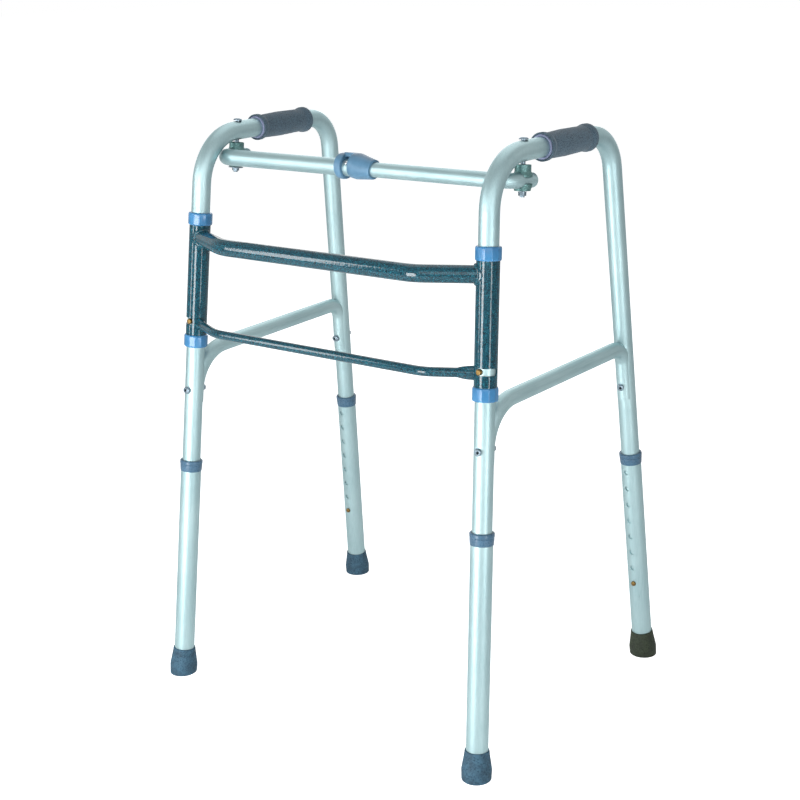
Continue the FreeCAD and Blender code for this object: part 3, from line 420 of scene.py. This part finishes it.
def hammertone_paint(colours, sizes):
    # steel tube sprayed with hammertone enamel: the eye gets a deep teal broken into small cells and
    # bright flecks, and wavy highlights from the rippled clear gloss over them
    fleck_width, ripple_width = sizes.hammer * 0.4, sizes.hammer * 1.3
    material, tree = new_material("hammertone_enamel")
    place = add_node(tree, "ShaderNodeTexCoord", output="Object")
    cell = add_node(
        tree, "ShaderNodeTexVoronoi", {"Vector": place, "Scale": 1 / sizes.hammer}, feature="F1"
    )
    fleck = add_node(tree, "ShaderNodeTexNoise", {"Vector": place, "Scale": 1 / fleck_width, "Detail": 3})
    ripple = add_node(tree, "ShaderNodeTexNoise", {"Vector": place, "Scale": 1 / ripple_width, "Detail": 1})
    edge = add_node(tree, "ShaderNodeMapRange", {"Value": cell, "From Min": 0.3, "From Max": 0.9})
    body = add_node(tree, "ShaderNodeMix", {
        FACTOR: edge,
        FIRST: colours.paint,
        SECOND: colours.paint_pit,
    }, data_type="RGBA")
    bright = add_node(tree, "ShaderNodeMapRange", {"Value": fleck, **PEAKS, "To Max": 0.75})
    flecked = add_node(
        tree, "ShaderNodeMix", {FACTOR: bright, FIRST: body, SECOND: colours.paint_fleck}, data_type="RGBA"
    )
    satin = add_node(tree, "ShaderNodeMapRange", {"Value": fleck, **SPREAD, "To Min": 0.35, "To Max": 0.5})
    dome = add_node(tree, "ShaderNodeMapRange", {
        "Value": cell,
        "From Min": 0,
        "From Max": 0.8,
        "To Min": 1,
        "To Max": 0,
    })
    domed = add_node(tree, "ShaderNodeBump", {"Height": dome, "Distance": 0.16 * MM, "Strength": 0.6})
    rough = add_node(
        tree, "ShaderNodeBump", {"Height": fleck, "Distance": 0.06 * MM, "Strength": 0.4, "Normal": domed}
    )
    rippled = add_node(tree, "ShaderNodeBump", {"Height": ripple, "Distance": 0.3 * MM, "Strength": 0.35})
    shader = add_node(tree, "ShaderNodeBsdfPrincipled", {
        "Base Color": flecked,
        "Roughness": satin,
        "Specular IOR Level": 0.0,
        "Normal": rough,
        "Coat Weight": 0.9,
        "Coat Roughness": 0.08,
        "Coat Normal": rippled,
    })
    add_node(tree, "ShaderNodeOutputMaterial", {"Surface": shader})
    return material


def moulded_plastic(name, colour, shadow, roughness):
    # injection moulded plastic, ABS or nylon: the eye gets an even colour with a soft sheen, a slight
    # orange peel and flow marks that shift its tone
    flow_width, peel_width = 14 * MM, 1.6 * MM
    dullest = roughness + 0.1
    material, tree = new_material(name)
    place = add_node(tree, "ShaderNodeTexCoord", output="Object")
    flow = add_node(tree, "ShaderNodeTexNoise", {"Vector": place, "Scale": 1 / flow_width, "Detail": 3})
    peel = add_node(tree, "ShaderNodeTexNoise", {"Vector": place, "Scale": 1 / peel_width, "Detail": 2})
    marks = add_node(tree, "ShaderNodeMapRange", {"Value": flow, **SPREAD})
    toned = add_node(
        tree, "ShaderNodeMix", {FACTOR: marks, FIRST: colour, SECOND: shadow}, data_type="RGBA"
    )
    gloss = add_node(
        tree, "ShaderNodeMapRange", {"Value": peel, **SPREAD, "To Min": roughness, "To Max": dullest}
    )
    peeled = add_node(tree, "ShaderNodeBump", {"Height": peel, "Distance": 0.05 * MM, "Strength": 0.35})
    shader = add_node(
        tree, "ShaderNodeBsdfPrincipled", {"Base Color": toned, "Roughness": gloss, "Normal": peeled}
    )
    add_node(tree, "ShaderNodeOutputMaterial", {"Surface": shader})
    return material


def pebbled_grip(colours, sizes):
    # dip moulded foamed PVC with a pebbled skin: the eye gets a matt grey-blue with lighter pebbles
    # and dark pits between them
    wear_width = 11 * MM
    material, tree = new_material("pebbled_soft_plastic")
    place = add_node(tree, "ShaderNodeTexCoord", output="Object")
    pebble = add_node(
        tree, "ShaderNodeTexVoronoi", {"Vector": place, "Scale": 1 / sizes.pebble}, feature="F1"
    )
    wear = add_node(tree, "ShaderNodeTexNoise", {"Vector": place, "Scale": 1 / wear_width, "Detail": 3})
    pit = add_node(tree, "ShaderNodeMapRange", {"Value": pebble, "From Min": 0.3, "From Max": 0.75})
    skin = add_node(tree, "ShaderNodeMix", {
        FACTOR: pit,
        FIRST: colours.grip,
        SECOND: colours.grip_pit,
    }, data_type="RGBA")
    rubbed = add_node(tree, "ShaderNodeMapRange", {"Value": wear, **SPREAD, "To Max": 0.35})
    worn = add_node(
        tree, "ShaderNodeMix", {FACTOR: rubbed, FIRST: skin, SECOND: colours.grip}, data_type="RGBA"
    )
    matt = add_node(tree, "ShaderNodeMapRange", {"Value": wear, **SPREAD, "To Min": 0.72, "To Max": 0.85})
    dome = add_node(tree, "ShaderNodeMapRange", {
        "Value": pebble,
        "From Min": 0.1,
        "From Max": 0.8,
        "To Min": 1,
        "To Max": 0,
    })
    domed = add_node(tree, "ShaderNodeBump", {"Height": dome, "Distance": 0.25 * MM, "Strength": 0.8})
    shader = add_node(tree, "ShaderNodeBsdfPrincipled", {
        "Base Color": worn,
        "Roughness": matt,
        "Normal": domed,
        "Sheen Weight": 0.15,
    })
    add_node(tree, "ShaderNodeOutputMaterial", {"Surface": shader})
    return material


def moulded_rubber(name, sizes, colour, speck):
    # compression moulded rubber: the eye gets a dull mottled surface with darker filler specks and a
    # grainy skin
    cloud_width = 9 * MM
    material, tree = new_material(name)
    place = add_node(tree, "ShaderNodeTexCoord", output="Object")
    cloud = add_node(tree, "ShaderNodeTexNoise", {"Vector": place, "Scale": 1 / cloud_width, "Detail": 4})
    fine = add_node(tree, "ShaderNodeTexNoise", {"Vector": place, "Scale": 1 / sizes.speck, "Detail": 4})
    patches = add_node(tree, "ShaderNodeMapRange", {"Value": cloud, **SPREAD, "To Max": 0.7})
    mottled = add_node(
        tree, "ShaderNodeMix", {FACTOR: patches, FIRST: colour, SECOND: speck}, data_type="RGBA"
    )
    filler = add_node(tree, "ShaderNodeMapRange", {"Value": fine, **PEAKS, "To Max": 0.8})
    specked = add_node(
        tree, "ShaderNodeMix", {FACTOR: filler, FIRST: mottled, SECOND: speck}, data_type="RGBA"
    )
    dull = add_node(tree, "ShaderNodeMapRange", {"Value": fine, **SPREAD, "To Min": 0.62, "To Max": 0.8})
    grainy = add_node(tree, "ShaderNodeBump", {"Height": fine, "Distance": 0.25 * MM, "Strength": 0.6})
    shader = add_node(
        tree, "ShaderNodeBsdfPrincipled", {"Base Color": specked, "Roughness": dull, "Normal": grainy}
    )
    add_node(tree, "ShaderNodeOutputMaterial", {"Surface": shader})
    return material


def worked_metal(name, colour, shadow, roughness, grain, depth):
    # bare or plated metal, turned, tumbled or rolled: the eye gets a bright surface with duller lows and
    # a grain of the given width
    dullest = roughness + 0.14
    material, tree = new_material(name)
    place = add_node(tree, "ShaderNodeTexCoord", output="Object")
    patch = add_node(tree, "ShaderNodeTexNoise", {"Vector": place, "Scale": 1 / grain, "Detail": 4})
    lows = add_node(tree, "ShaderNodeMapRange", {"Value": patch, **SPREAD})
    toned = add_node(
        tree, "ShaderNodeMix", {FACTOR: lows, FIRST: colour, SECOND: shadow}, data_type="RGBA"
    )
    gloss = add_node(
        tree, "ShaderNodeMapRange", {"Value": patch, **SPREAD, "To Min": roughness, "To Max": dullest}
    )
    worked = add_node(tree, "ShaderNodeBump", {"Height": patch, "Distance": depth, "Strength": 0.5})
    shader = add_node(tree, "ShaderNodeBsdfPrincipled", {
        "Base Color": toned,
        "Metallic": 1.0,
        "Roughness": gloss,
        "Normal": worked,
    })
    add_node(tree, "ShaderNodeOutputMaterial", {"Surface": shader})
    return material


# ---- pieces ---------------------------------------------------------------------------------------------


def make_tubes(colours, sizes):
    drawn = 0.04  # scale of the pattern along a tube
    upright = anodised_aluminium(colours, sizes, "anodised_aluminium_upright", (1, 1, drawn))
    across = anodised_aluminium(colours, sizes, "anodised_aluminium_across", (drawn, 1, 1))
    rearward = anodised_aluminium(colours, sizes, "anodised_aluminium_rearward", (1, drawn, 1))
    cover([f"{side}_frame_tube" for side in SIDES], upright)
    cover([f"{leg}_leg_tube" for leg in LEGS], upright)
    cover([f"{side}_brace" for side in SIDES], rearward)
    cover(["outer_bar", "inner_bar", "outer_bar_cap", "inner_bar_cap"], across)


def bar_direction(node, centre):
    """The direction in which a crossbar leaves the sleeve at centre: towards the middle of its end."""
    reach = 60 * MM
    near = [p for p in node_points(node) if (p - centre).length < reach]
    return (middle_of(near) - centre).normalized()


def weld_bead(name, root, along, up, tube, wall, width):
    """A fillet of weld round a bar's root, where the bar meets a sleeve's round wall."""
    bpy.ops.object.select_all(action="DESELECT")
    bpy.ops.mesh.primitive_torus_add(
        major_segments=72, minor_segments=12, major_radius=tube, minor_radius=width
    )
    piece = bpy.context.object
    piece.name = piece.data.name = name
    across = up.cross(along).normalized()
    settle(piece, axis_place(root, along))
    for vertex in piece.data.vertices:
        aside = (vertex.co - root).dot(across)
        sag = wall - math.sqrt(max(wall**2 - aside**2, 0))
        vertex.co -= along * sag
    bpy.ops.object.shade_smooth()
    return piece


def make_crossbars(colours, sizes):
    paint = hammertone_paint(colours, sizes)
    cover(["left_sleeve", "right_sleeve", "upper_crossbar", "lower_crossbar"], paint)
    low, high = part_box("upper_crossbar")
    height = (low.z + high.z) / 2
    tube = (high.z - low.z) / 2
    for side in SIDES:
        foot, up = leg_line(f"{side}_front")
        centre = foot + up * (height / up.z)
        wall = measure(node_points(f"{side}_sleeve"), foot, up)[3]
        along = bar_direction("upper_crossbar", centre)
        root = centre + along * wall
        bead = weld_bead(f"{side}_weld", root, along, up, tube, wall, sizes.weld)
        add_piece(bead, "crossbars", paint)


def make_rings(colours, sizes):
    # glossy ABS: the eye gets a clear mid blue with a sharp highlight on each flat
    plastic = moulded_plastic("glossy_moulded_abs", colours.ring, colours.ring_shade, roughness=0.16)
    chamfer, chamfer_rise = 0.94, 0.1  # shares of the ring's radius and of its height
    for side in SIDES:
        foot, up = leg_line(f"{side}_front")
        for level in ("upper", "lower"):
            node = f"{side}_{level}_ring"
            low, high, bore, rim = measure(node_points(node), foot, up)
            rise = high - low
            profile = [
                (bore, 0),
                (rim * chamfer, 0),
                (rim, rise * chamfer_rise),
                (rim, rise * (1 - chamfer_rise)),
                (rim * chamfer, rise),
                (bore, rise),
            ]
            place = axis_place(foot + up * low, up)
            ring = turn_shape(f"{node}_faceted", profile, place, sides=sizes.facets)
            round_edges(ring, sizes.edge, segments=4, angle=15)
            shade(ring)
            add_piece(ring, f"{side}_frame", plastic, [node])


def make_collars(colours):
    # moulded nylon: the eye gets a duller, greyer blue with a soft band of light
    plastic = moulded_plastic("moulded_nylon", colours.collar, colours.collar_shade, roughness=0.24)
    lip = 2.4 * MM  # height of the lip that guides the leg into the frame's tube
    waist = 0.9 * MM  # how far the lower half stands back from the rim
    for leg in LEGS:
        foot, up = leg_line(leg)
        node = f"{leg}_collar"
        low, high, guide, rim = measure(node_points(node), foot, up)
        seat = measure(node_points(f"{leg}_leg_tube"), foot, up)[3] + FIT
        rise = high - low
        profile = round_profile([
            (seat, 0),
            (rim - waist, 0, 0.8 * MM),  # lower edge
            (rim - 0.3 * MM, rise * 0.55, 2 * MM),  # the lower half widens to here
            (rim - waist, rise * 0.6, 0.5 * MM),  # groove
            (rim, rise * 0.66, 1 * MM),  # upper band
            (rim, rise * 0.94, 2 * MM),
            (guide + 0.8 * MM, rise, 0.6 * MM),  # upper edge
            (guide, rise - 0.8 * MM),
            (guide, rise - lip),  # under the lip
            (seat, rise - lip),
        ])
        collar = turn_shape(f"{leg}_collar_moulded", profile, axis_place(foot + up * low, up))
        shade(collar)
        add_piece(collar, f"{leg}_leg", plastic, [node])


def make_feet(colours, sizes):
    # three feet are blue-grey, and the odd one is from another batch: nearly black, with olive in it
    blue = moulded_rubber("moulded_rubber_blue_grey", sizes, colours.foot, colours.foot_speck)
    olive = moulded_rubber("moulded_rubber_olive", sizes, colours.odd_foot, colours.odd_foot_speck)
    below = -5 * MM  # the leaning foot is turned down to here and then cut level with the floor
    middle = 1 * MM  # radius of the small caps that close it
    for leg in LEGS:
        foot, up = leg_line(leg)
        node = f"{leg}_foot"
        _, high, _, rim = measure(node_points(node), foot, up)
        end, _, _, tube = measure(node_points(f"{leg}_leg_tube"), foot, up)
        seat = tube + FIT
        neck = seat + 1.4 * MM
        profile = round_profile([
            (middle, below),
            (rim - 0.8 * MM, below),
            (rim - 0.4 * MM, 3 * MM, 3 * MM),
            (rim, high * 0.32, 16 * MM),  # the widest part
            (neck + 0.6 * MM, high * 0.86, 8 * MM),  # the shoulder
            (neck, high, 0.8 * MM),  # top edge
            (seat, high),
            (seat, end),  # the tube stands here
            (middle, end),
        ])
        piece = turn_shape(f"{leg}_foot_moulded", profile, axis_place(foot, up), hollow=False)
        level_off(piece)
        shade(piece)
        rubber = olive if leg == "right_rear" else blue
        add_piece(piece, f"{leg}_leg", rubber, [node])


def level_off(piece):
    """Cuts a foot level with the floor and sinks two grooves into its sole."""
    make_active(piece)
    bpy.ops.object.mode_set(mode="EDIT")
    bpy.ops.mesh.select_mode(type="FACE")
    bpy.ops.mesh.select_all(action="SELECT")
    bpy.ops.mesh.bisect(plane_co=(0, 0, 0), plane_no=(0, 0, 1), use_fill=True, clear_inner=True)
    deep = 1.2 * MM
    for width, step in ((3 * MM, 0), (2.2 * MM, deep), (2.6 * MM, -deep), (2.2 * MM, deep)):
        bpy.ops.mesh.inset(thickness=width, depth=0)
        if step:
            bpy.ops.mesh.extrude_region_move(TRANSFORM_OT_translate={"value": (0, 0, step)})
    bpy.ops.object.mode_set(mode="OBJECT")


def make_grips(colours, sizes):
    skin = pebbled_grip(colours, sizes)
    # soft plastic, moulded smooth: the eye gets a pale lilac grey that catches little light
    smooth = moulded_plastic(
        "smooth_soft_plastic", colours.grip_collar, colours.grip_collar_shade, roughness=0.4
    )
    seam = 2 * MM  # where the pebbled body meets the collar
    for side in SIDES:
        middle, along = handle_line(side)
        low, high, bore, rim = measure(node_points(f"{side}_grip"), middle, along)
        place = axis_place(middle + along * low, along)
        length, width = high - low, sizes.collar
        waist, belly = rim - 2 * MM, rim - 1 * MM
        body = round_profile([
            (bore, seam),
            (rim - 2.4 * MM, seam),
            (rim - 1.4 * MM, 0.6 * MM, 0.5 * MM),
            (rim, 1.2 * MM, 1.4 * MM),  # front flange
            (rim, width, 2.4 * MM),
            (waist, width * 1.7, 5 * MM),  # front hollow
            (belly, length * 0.45, 70 * MM),  # swell under the palm
            (waist, length - width * 1.8, 12 * MM),  # rear hollow
            (rim, length - width, 5 * MM),  # rear flange
            (rim, length, 2.6 * MM),
            (bore + 1 * MM, length, 0.6 * MM),  # rear edge
            (bore, length - 1 * MM),
        ], steps=8)
        grip = turn_shape(f"{side}_grip_body", body, place)
        shade(grip)
        add_piece(grip, f"{side}_frame", skin, [f"{side}_grip"])
        face = round_profile([
            (bore, seam - FIT),
            (bore, 0.4 * MM),
            (bore + 0.8 * MM, 0, 0.4 * MM),
            (rim - 3 * MM, 0, 0.8 * MM),
            (rim - 2.5 * MM, seam - FIT),
        ])
        collar = turn_shape(f"{side}_grip_collar", face, place)
        shade(collar)
        add_piece(collar, f"{side}_frame", smooth)


def make_latch(colours):
    # satin ABS: the eye gets a pale dusty blue with broad, soft highlights
    plastic = moulded_plastic("satin_moulded_abs", colours.latch, colours.latch_shade, roughness=0.3)
    cover(["latch_housing"], plastic)


def make_fasteners(colours):
    # zinc plated steel: the eye gets a cool grey shine, a little cloudy
    zinc = worked_metal(
        "zinc_plated_steel", colours.zinc, colours.zinc_shade, roughness=0.3, grain=3 * MM, depth=0.03 * MM
    )
    # cast aluminium, tumbled: the eye gets a dull green-grey skin with small dents
    cast = worked_metal(
        "tumbled_cast_aluminium",
        colours.saddle,
        colours.saddle_shade,
        roughness=0.42,
        grain=2.2 * MM,
        depth=0.12 * MM,
    )
    # painted shade: a dark, steel-like finish for the plate in each bolt's socket, which paints the shade that
    # makes a dark hole in each bolt's head
    black = worked_metal(
        "blackened_steel",
        colours.socket_shadow,
        colours.socket_shadow_lows,
        roughness=0.45,
        grain=1 * MM,
        depth=0.02 * MM,
    )
    for side in SIDES:
        front, up = leg_line(f"{side}_front")
        rear, rear_up = leg_line(f"{side}_rear")
        bolt_head(f"{side}_pivot", side, node_points(f"{side}_pivot_bolt"), up, zinc, black)
        bolts = node_points(f"{side}_brace_bolts")
        for end, foot, axis in (("front", front, up), ("rear", rear, rear_up)):
            bolt = [p for p in bolts if (p.y < 0) == (foot.y < 0)]
            across = (Vector((0, 1, 0)) - axis * axis.y).normalized()
            bolt_head(f"{side}_{end}_brace", side, bolt, across, zinc, black)
        cover([f"{side}_{kind}" for kind in ("brace_bolts", "brace_nuts", "pivot_bolt", "pivot_nut")], zinc)
        cover([f"{side}_upper_saddle", f"{side}_lower_saddle"], cast)


def bolt_head(name, side, bolt, axis, metal, dark):
    """A button head with a socket, over the plain head of the bolt that runs along the axis, and a dark plate in
    the socket that paints the shade in it.
    """
    middle = middle_of(bolt)
    low, high = measure(bolt, middle, axis)[:2]
    flat = 0.1 * MM  # a point this near to an end is on its face
    ends = []
    for limit, outward in ((low, -axis), (high, axis)):
        rim = [p for p in bolt if abs((p - middle).dot(axis) - limit) < flat]
        centre = middle_of(rim)
        ends.append((max((p - centre).length for p in rim), centre, outward))
    reach, centre, outward = max(ends, key=lambda end: end[0])
    place = axis_place(centre, outward)
    socket, over = reach * 0.62, reach + 0.5 * MM
    crown, floor, skirt = 0.7 * MM, 0.1 * MM, -0.9 * MM  # heights from the plain head's face
    cup = round_profile([
        (PIN_HOLE, floor),
        (socket, floor),
        (socket + 0.1 * MM, crown, 0.2 * MM),  # the socket's rim
        (socket + 0.7 * MM, crown, 0.4 * MM),
        (over, -0.2 * MM, 0.3 * MM),  # the head's outer edge
        (over, skirt),
        (PIN_HOLE, skirt),
    ], steps=4)
    head = turn_shape(f"{name}_head", cup, place, sides=32, hollow=False)
    shade(head)
    add_piece(head, f"{side}_frame", metal)
    key, top, bottom = socket * 0.9, 0.2 * MM, -0.3 * MM  # the six-sided floor of the socket
    plate = [(PIN_HOLE, top), (key, top), (key, bottom), (PIN_HOLE, bottom)]
    # painted shade: a dark plate over the socket's floor stands for the shade in the hole
    socket_shadow = turn_shape(f"{name}_recess", plate, place, sides=6, hollow=False)
    shade(socket_shadow)
    add_piece(socket_shadow, f"{side}_frame", dark)


def make_buttons(colours):
    # brass, turned: the eye gets a warm yellow dot with a small highlight
    brass = worked_metal(
        "turned_brass", colours.brass, colours.brass_shade, roughness=0.3, grain=1.4 * MM, depth=0.02 * MM
    )
    # tempered spring steel: the eye gets a plain grey leaf inside the tube's bore
    steel = worked_metal(
        "tempered_spring_steel",
        colours.spring,
        colours.spring_shade,
        roughness=0.28,
        grain=2 * MM,
        depth=0.02 * MM,
    )
    # nickel plate, polished: the eye gets a bright, almost white point
    nickel = worked_metal(
        "polished_nickel_plate",
        colours.pin,
        colours.pin_shade,
        roughness=0.12,
        grain=2 * MM,
        depth=0.01 * MM,
    )
    cover([f"{leg}_snap_button" for leg in LEGS] + [f"{side}_stop_button" for side in SIDES], brass)
    cover([f"{leg}_snap_spring" for leg in LEGS] + [f"{side}_stop_spring" for side in SIDES], steel)
    cover(["latch_pin"], nickel)
    cover(["latch_pin_spring"], steel)


# ---- stage ----------------------------------------------------------------------------------------------

# Each lamp's degrees round from straight in front, distance, height, and the width and height of its face.
LAMPS = {
    "key": (-3, 1.5, 0.4, (0.45, 0.9)),
    "front": (40, 2.2, 1.35, (2.4, 1.4)),
    "fill": (66, 1.7, 0.4, (0.25, 0.9)),
    "side": (-38, 1.9, 0.85, (0.3, 1.1)),
    "back": (217, 2.4, 1.5, (1.6, 1.2)),
    "overhead": (200, 0.9, 2.6, (2.2, 2.2)),
}
WHITE = "#FFFFFF"


def seen_directly(tree, reflected=1.0):
    """1 for what the camera sees, reflected for what metal and glass see, and 0 for the light itself."""
    seen = add_node(tree, "ShaderNodeLightPath", output="Is Camera Ray")
    for name in ("Is Glossy Ray", "Is Transmission Ray"):
        ray = add_node(tree, "ShaderNodeLightPath", output=name)
        part = add_node(tree, "ShaderNodeMath", {0: ray, 1: reflected}, operation="MULTIPLY")
        seen = add_node(tree, "ShaderNodeMath", {0: seen, 1: part}, operation="MAXIMUM")
    return seen


def make_floor(colours):
    """A pale floor that looks white from the camera and keeps a soft shadow."""
    width, glow_strength, reflected = 40, 0.84, 0.25
    bpy.ops.object.select_all(action="DESELECT")
    bpy.ops.mesh.primitive_plane_add(size=width)
    floor = bpy.context.object
    floor.name = "floor"
    material, tree = new_material("plain_floor")
    matt = add_node(tree, "ShaderNodeBsdfDiffuse", {"Color": colours.floor})
    seen = seen_directly(tree, reflected)
    glow = add_node(tree, "ShaderNodeMath", {0: seen, 1: glow_strength}, operation="MULTIPLY")
    white = add_node(tree, "ShaderNodeEmission", {"Color": WHITE, "Strength": glow})
    both = add_node(tree, "ShaderNodeAddShader", {0: matt, 1: white})
    add_node(tree, "ShaderNodeOutputMaterial", {"Surface": both})
    floor.data.materials.append(material)


def make_sky(colours, studio):
    """Soft light from all round, behind a room that is white to the camera and darker to the metal."""
    world = bpy.data.worlds.new("studio")
    bpy.context.scene.world = world
    world.use_nodes = True
    tree = world.node_tree
    tree.nodes.clear()
    soft = add_node(tree, "ShaderNodeBackground", {"Color": colours.sky, "Strength": studio.sky})
    place = add_node(tree, "ShaderNodeTexCoord", output="Generated")
    rise = add_node(tree, "ShaderNodeSeparateXYZ", {"Vector": place}, output="Z")
    ceiling = add_node(tree, "ShaderNodeMapRange", {
        "Value": rise,
        "From Min": 0.3,
        "From Max": 0.75,
        "To Min": 1,
        "To Max": studio.ceiling,
    })
    backward = (-math.sin(studio.azimuth), math.cos(studio.azimuth), 0)
    depth = add_node(
        tree, "ShaderNodeVectorMath", {0: place, 1: backward}, output="Value", operation="DOT_PRODUCT"
    )
    walls = add_node(tree, "ShaderNodeMapRange", {
        "Value": depth,
        "From Min": 0.3,
        "From Max": 0.9,
        "To Min": studio.walls,
        "To Max": 1,
    })
    room = add_node(tree, "ShaderNodeMath", {0: ceiling, 1: walls}, operation="MULTIPLY")
    camera = add_node(tree, "ShaderNodeLightPath", output="Is Camera Ray")
    shown = add_node(tree, "ShaderNodeMath", {0: room, 1: camera}, operation="MAXIMUM")
    white = add_node(tree, "ShaderNodeBackground", {"Color": WHITE, "Strength": shown})
    mix = add_node(tree, "ShaderNodeMixShader", {0: seen_directly(tree), 1: soft, 2: white})
    add_node(tree, "ShaderNodeOutputWorld", {"Surface": mix})


def add_lamp(name, azimuth, distance, height, size, power):
    """A soft lamp that faces the middle of the object."""
    middle = (CAD_BOX[0] + CAD_BOX[1]) / 2
    turn = math.radians(azimuth)
    spot = Vector((math.sin(turn) * distance, -math.cos(turn) * distance, height))
    data = bpy.data.lights.new(name, "AREA")
    data.shape = "RECTANGLE"
    data.size, data.size_y = size
    data.energy = power
    lamp = bpy.data.objects.new(name, data)
    bpy.context.scene.collection.objects.link(lamp)
    lamp.location = spot
    lamp.rotation_mode = "QUATERNION"
    lamp.rotation_quaternion = (spot - middle).to_track_quat("Z", "Y")


def make_camera(studio):
    """The camera stands in front, to the right of the object and above it, and is turned a little."""
    azimuth, elevation = studio.azimuth, studio.elevation
    back = Vector((
        math.sin(azimuth) * math.cos(elevation),
        -math.cos(azimuth) * math.cos(elevation),
        math.sin(elevation),
    ))
    level = Vector((math.cos(azimuth), math.sin(azimuth), 0))
    upward = back.cross(level)
    right = level * math.cos(studio.roll) + upward * math.sin(studio.roll)
    top = back.cross(right)
    aim = (CAD_BOX[0] + CAD_BOX[1]) / 2 + Vector(studio.aim)
    data = bpy.data.cameras.new("camera")
    data.lens = studio.lens
    camera = bpy.data.objects.new("camera", data)
    bpy.context.scene.collection.objects.link(camera)
    axes = Matrix((right, top, back)).transposed().to_4x4()
    camera.matrix_world = Matrix.Translation(aim + back * studio.distance) @ axes
    bpy.context.scene.camera = camera


# ---- operators ------------------------------------------------------------------------------------------


class WALKER_OT_tubes(bpy.types.Operator):
    """Gives the tubes their anodised finish"""

    bl_idname = "walker.tubes"
    bl_label = "Tubes"

    def execute(self, context):
        make_tubes(context.scene.walker_colours, context.scene.walker_sizes)
        return {"FINISHED"}


class WALKER_OT_crossbars(bpy.types.Operator):
    """Paints the crossbars and sleeves and adds their welds"""

    bl_idname = "walker.crossbars"
    bl_label = "Crossbars"

    def execute(self, context):
        make_crossbars(context.scene.walker_colours, context.scene.walker_sizes)
        return {"FINISHED"}


class WALKER_OT_rings(bpy.types.Operator):
    """Models the faceted stop rings above and below the sleeves"""

    bl_idname = "walker.rings"
    bl_label = "Stop rings"

    def execute(self, context):
        make_rings(context.scene.walker_colours, context.scene.walker_sizes)
        return {"FINISHED"}


class WALKER_OT_collars(bpy.types.Operator):
    """Models the collars at the tops of the legs"""

    bl_idname = "walker.collars"
    bl_label = "Leg collars"

    def execute(self, context):
        make_collars(context.scene.walker_colours)
        return {"FINISHED"}


class WALKER_OT_feet(bpy.types.Operator):
    """Models the rubber feet"""

    bl_idname = "walker.feet"
    bl_label = "Feet"

    def execute(self, context):
        make_feet(context.scene.walker_colours, context.scene.walker_sizes)
        return {"FINISHED"}


class WALKER_OT_grips(bpy.types.Operator):
    """Models the grips and their collars"""

    bl_idname = "walker.grips"
    bl_label = "Grips"

    def execute(self, context):
        make_grips(context.scene.walker_colours, context.scene.walker_sizes)
        return {"FINISHED"}


class WALKER_OT_latch(bpy.types.Operator):
    """Finishes the top bar's latch"""

    bl_idname = "walker.latch"
    bl_label = "Latch"

    def execute(self, context):
        make_latch(context.scene.walker_colours)
        return {"FINISHED"}


class WALKER_OT_fasteners(bpy.types.Operator):
    """Models the bolt heads and finishes the bolts, nuts and saddles"""

    bl_idname = "walker.fasteners"
    bl_label = "Fasteners"

    def execute(self, context):
        make_fasteners(context.scene.walker_colours)
        return {"FINISHED"}


class WALKER_OT_buttons(bpy.types.Operator):
    """Finishes the buttons, the latch pin and their springs"""

    bl_idname = "walker.buttons"
    bl_label = "Buttons"

    def execute(self, context):
        make_buttons(context.scene.walker_colours)
        return {"FINISHED"}


class WALKER_OT_stage(bpy.types.Operator):
    """Makes the floor, the lamps and the camera"""

    bl_idname = "walker.stage"
    bl_label = "Stage"

    def execute(self, context):
        studio = context.scene.walker_studio
        make_floor(context.scene.walker_colours)
        make_sky(context.scene.walker_colours, studio)
        for name, place in LAMPS.items():
            add_lamp(f"{name}_lamp", *place, getattr(studio, name))
        make_camera(studio)
        context.scene.view_settings.view_transform = "Standard"
        return {"FINISHED"}


OPERATORS = (
    WALKER_OT_stage,
    WALKER_OT_tubes,
    WALKER_OT_crossbars,
    WALKER_OT_rings,
    WALKER_OT_collars,
    WALKER_OT_feet,
    WALKER_OT_grips,
    WALKER_OT_latch,
    WALKER_OT_fasteners,
    WALKER_OT_buttons,
)
SETTINGS = {"walker_colours": WalkerColours, "walker_sizes": WalkerSizes, "walker_studio": WalkerStudio}


class WALKER_PT_panel(bpy.types.Panel):
    """Lists the steps that finish the walking frame"""

    bl_idname = "WALKER_PT_panel"
    bl_label = "Walking frame"
    bl_space_type = "VIEW_3D"
    bl_region_type = "UI"
    bl_category = "Walking frame"

    def draw(self, context):
        for operator in OPERATORS:
            self.layout.operator(operator.bl_idname)
        for name, group in SETTINGS.items():
            column = self.layout.column()
            for item in group.__annotations__:
                column.prop(getattr(context.scene, name), item)


def register():
    for group in SETTINGS.values():
        bpy.utils.register_class(group)
    for cls in OPERATORS + (WALKER_PT_panel,):
        bpy.utils.register_class(cls)
    for name, group in SETTINGS.items():
        setattr(bpy.types.Scene, name, bpy.props.PointerProperty(type=group))


def unregister():
    for name in SETTINGS:
        delattr(bpy.types.Scene, name)
    for cls in (WALKER_PT_panel,) + OPERATORS[::-1]:
        bpy.utils.unregister_class(cls)
    for group in SETTINGS.values():
        bpy.utils.unregister_class(group)


def main():
    register()
    bpy.ops.walker.stage()
    bpy.ops.walker.tubes()
    bpy.ops.walker.crossbars()
    bpy.ops.walker.rings()
    bpy.ops.walker.collars()
    bpy.ops.walker.feet()
    bpy.ops.walker.grips()
    bpy.ops.walker.latch()
    bpy.ops.walker.fasteners()
    bpy.ops.walker.buttons()


if __name__ == "__main__":
    main()
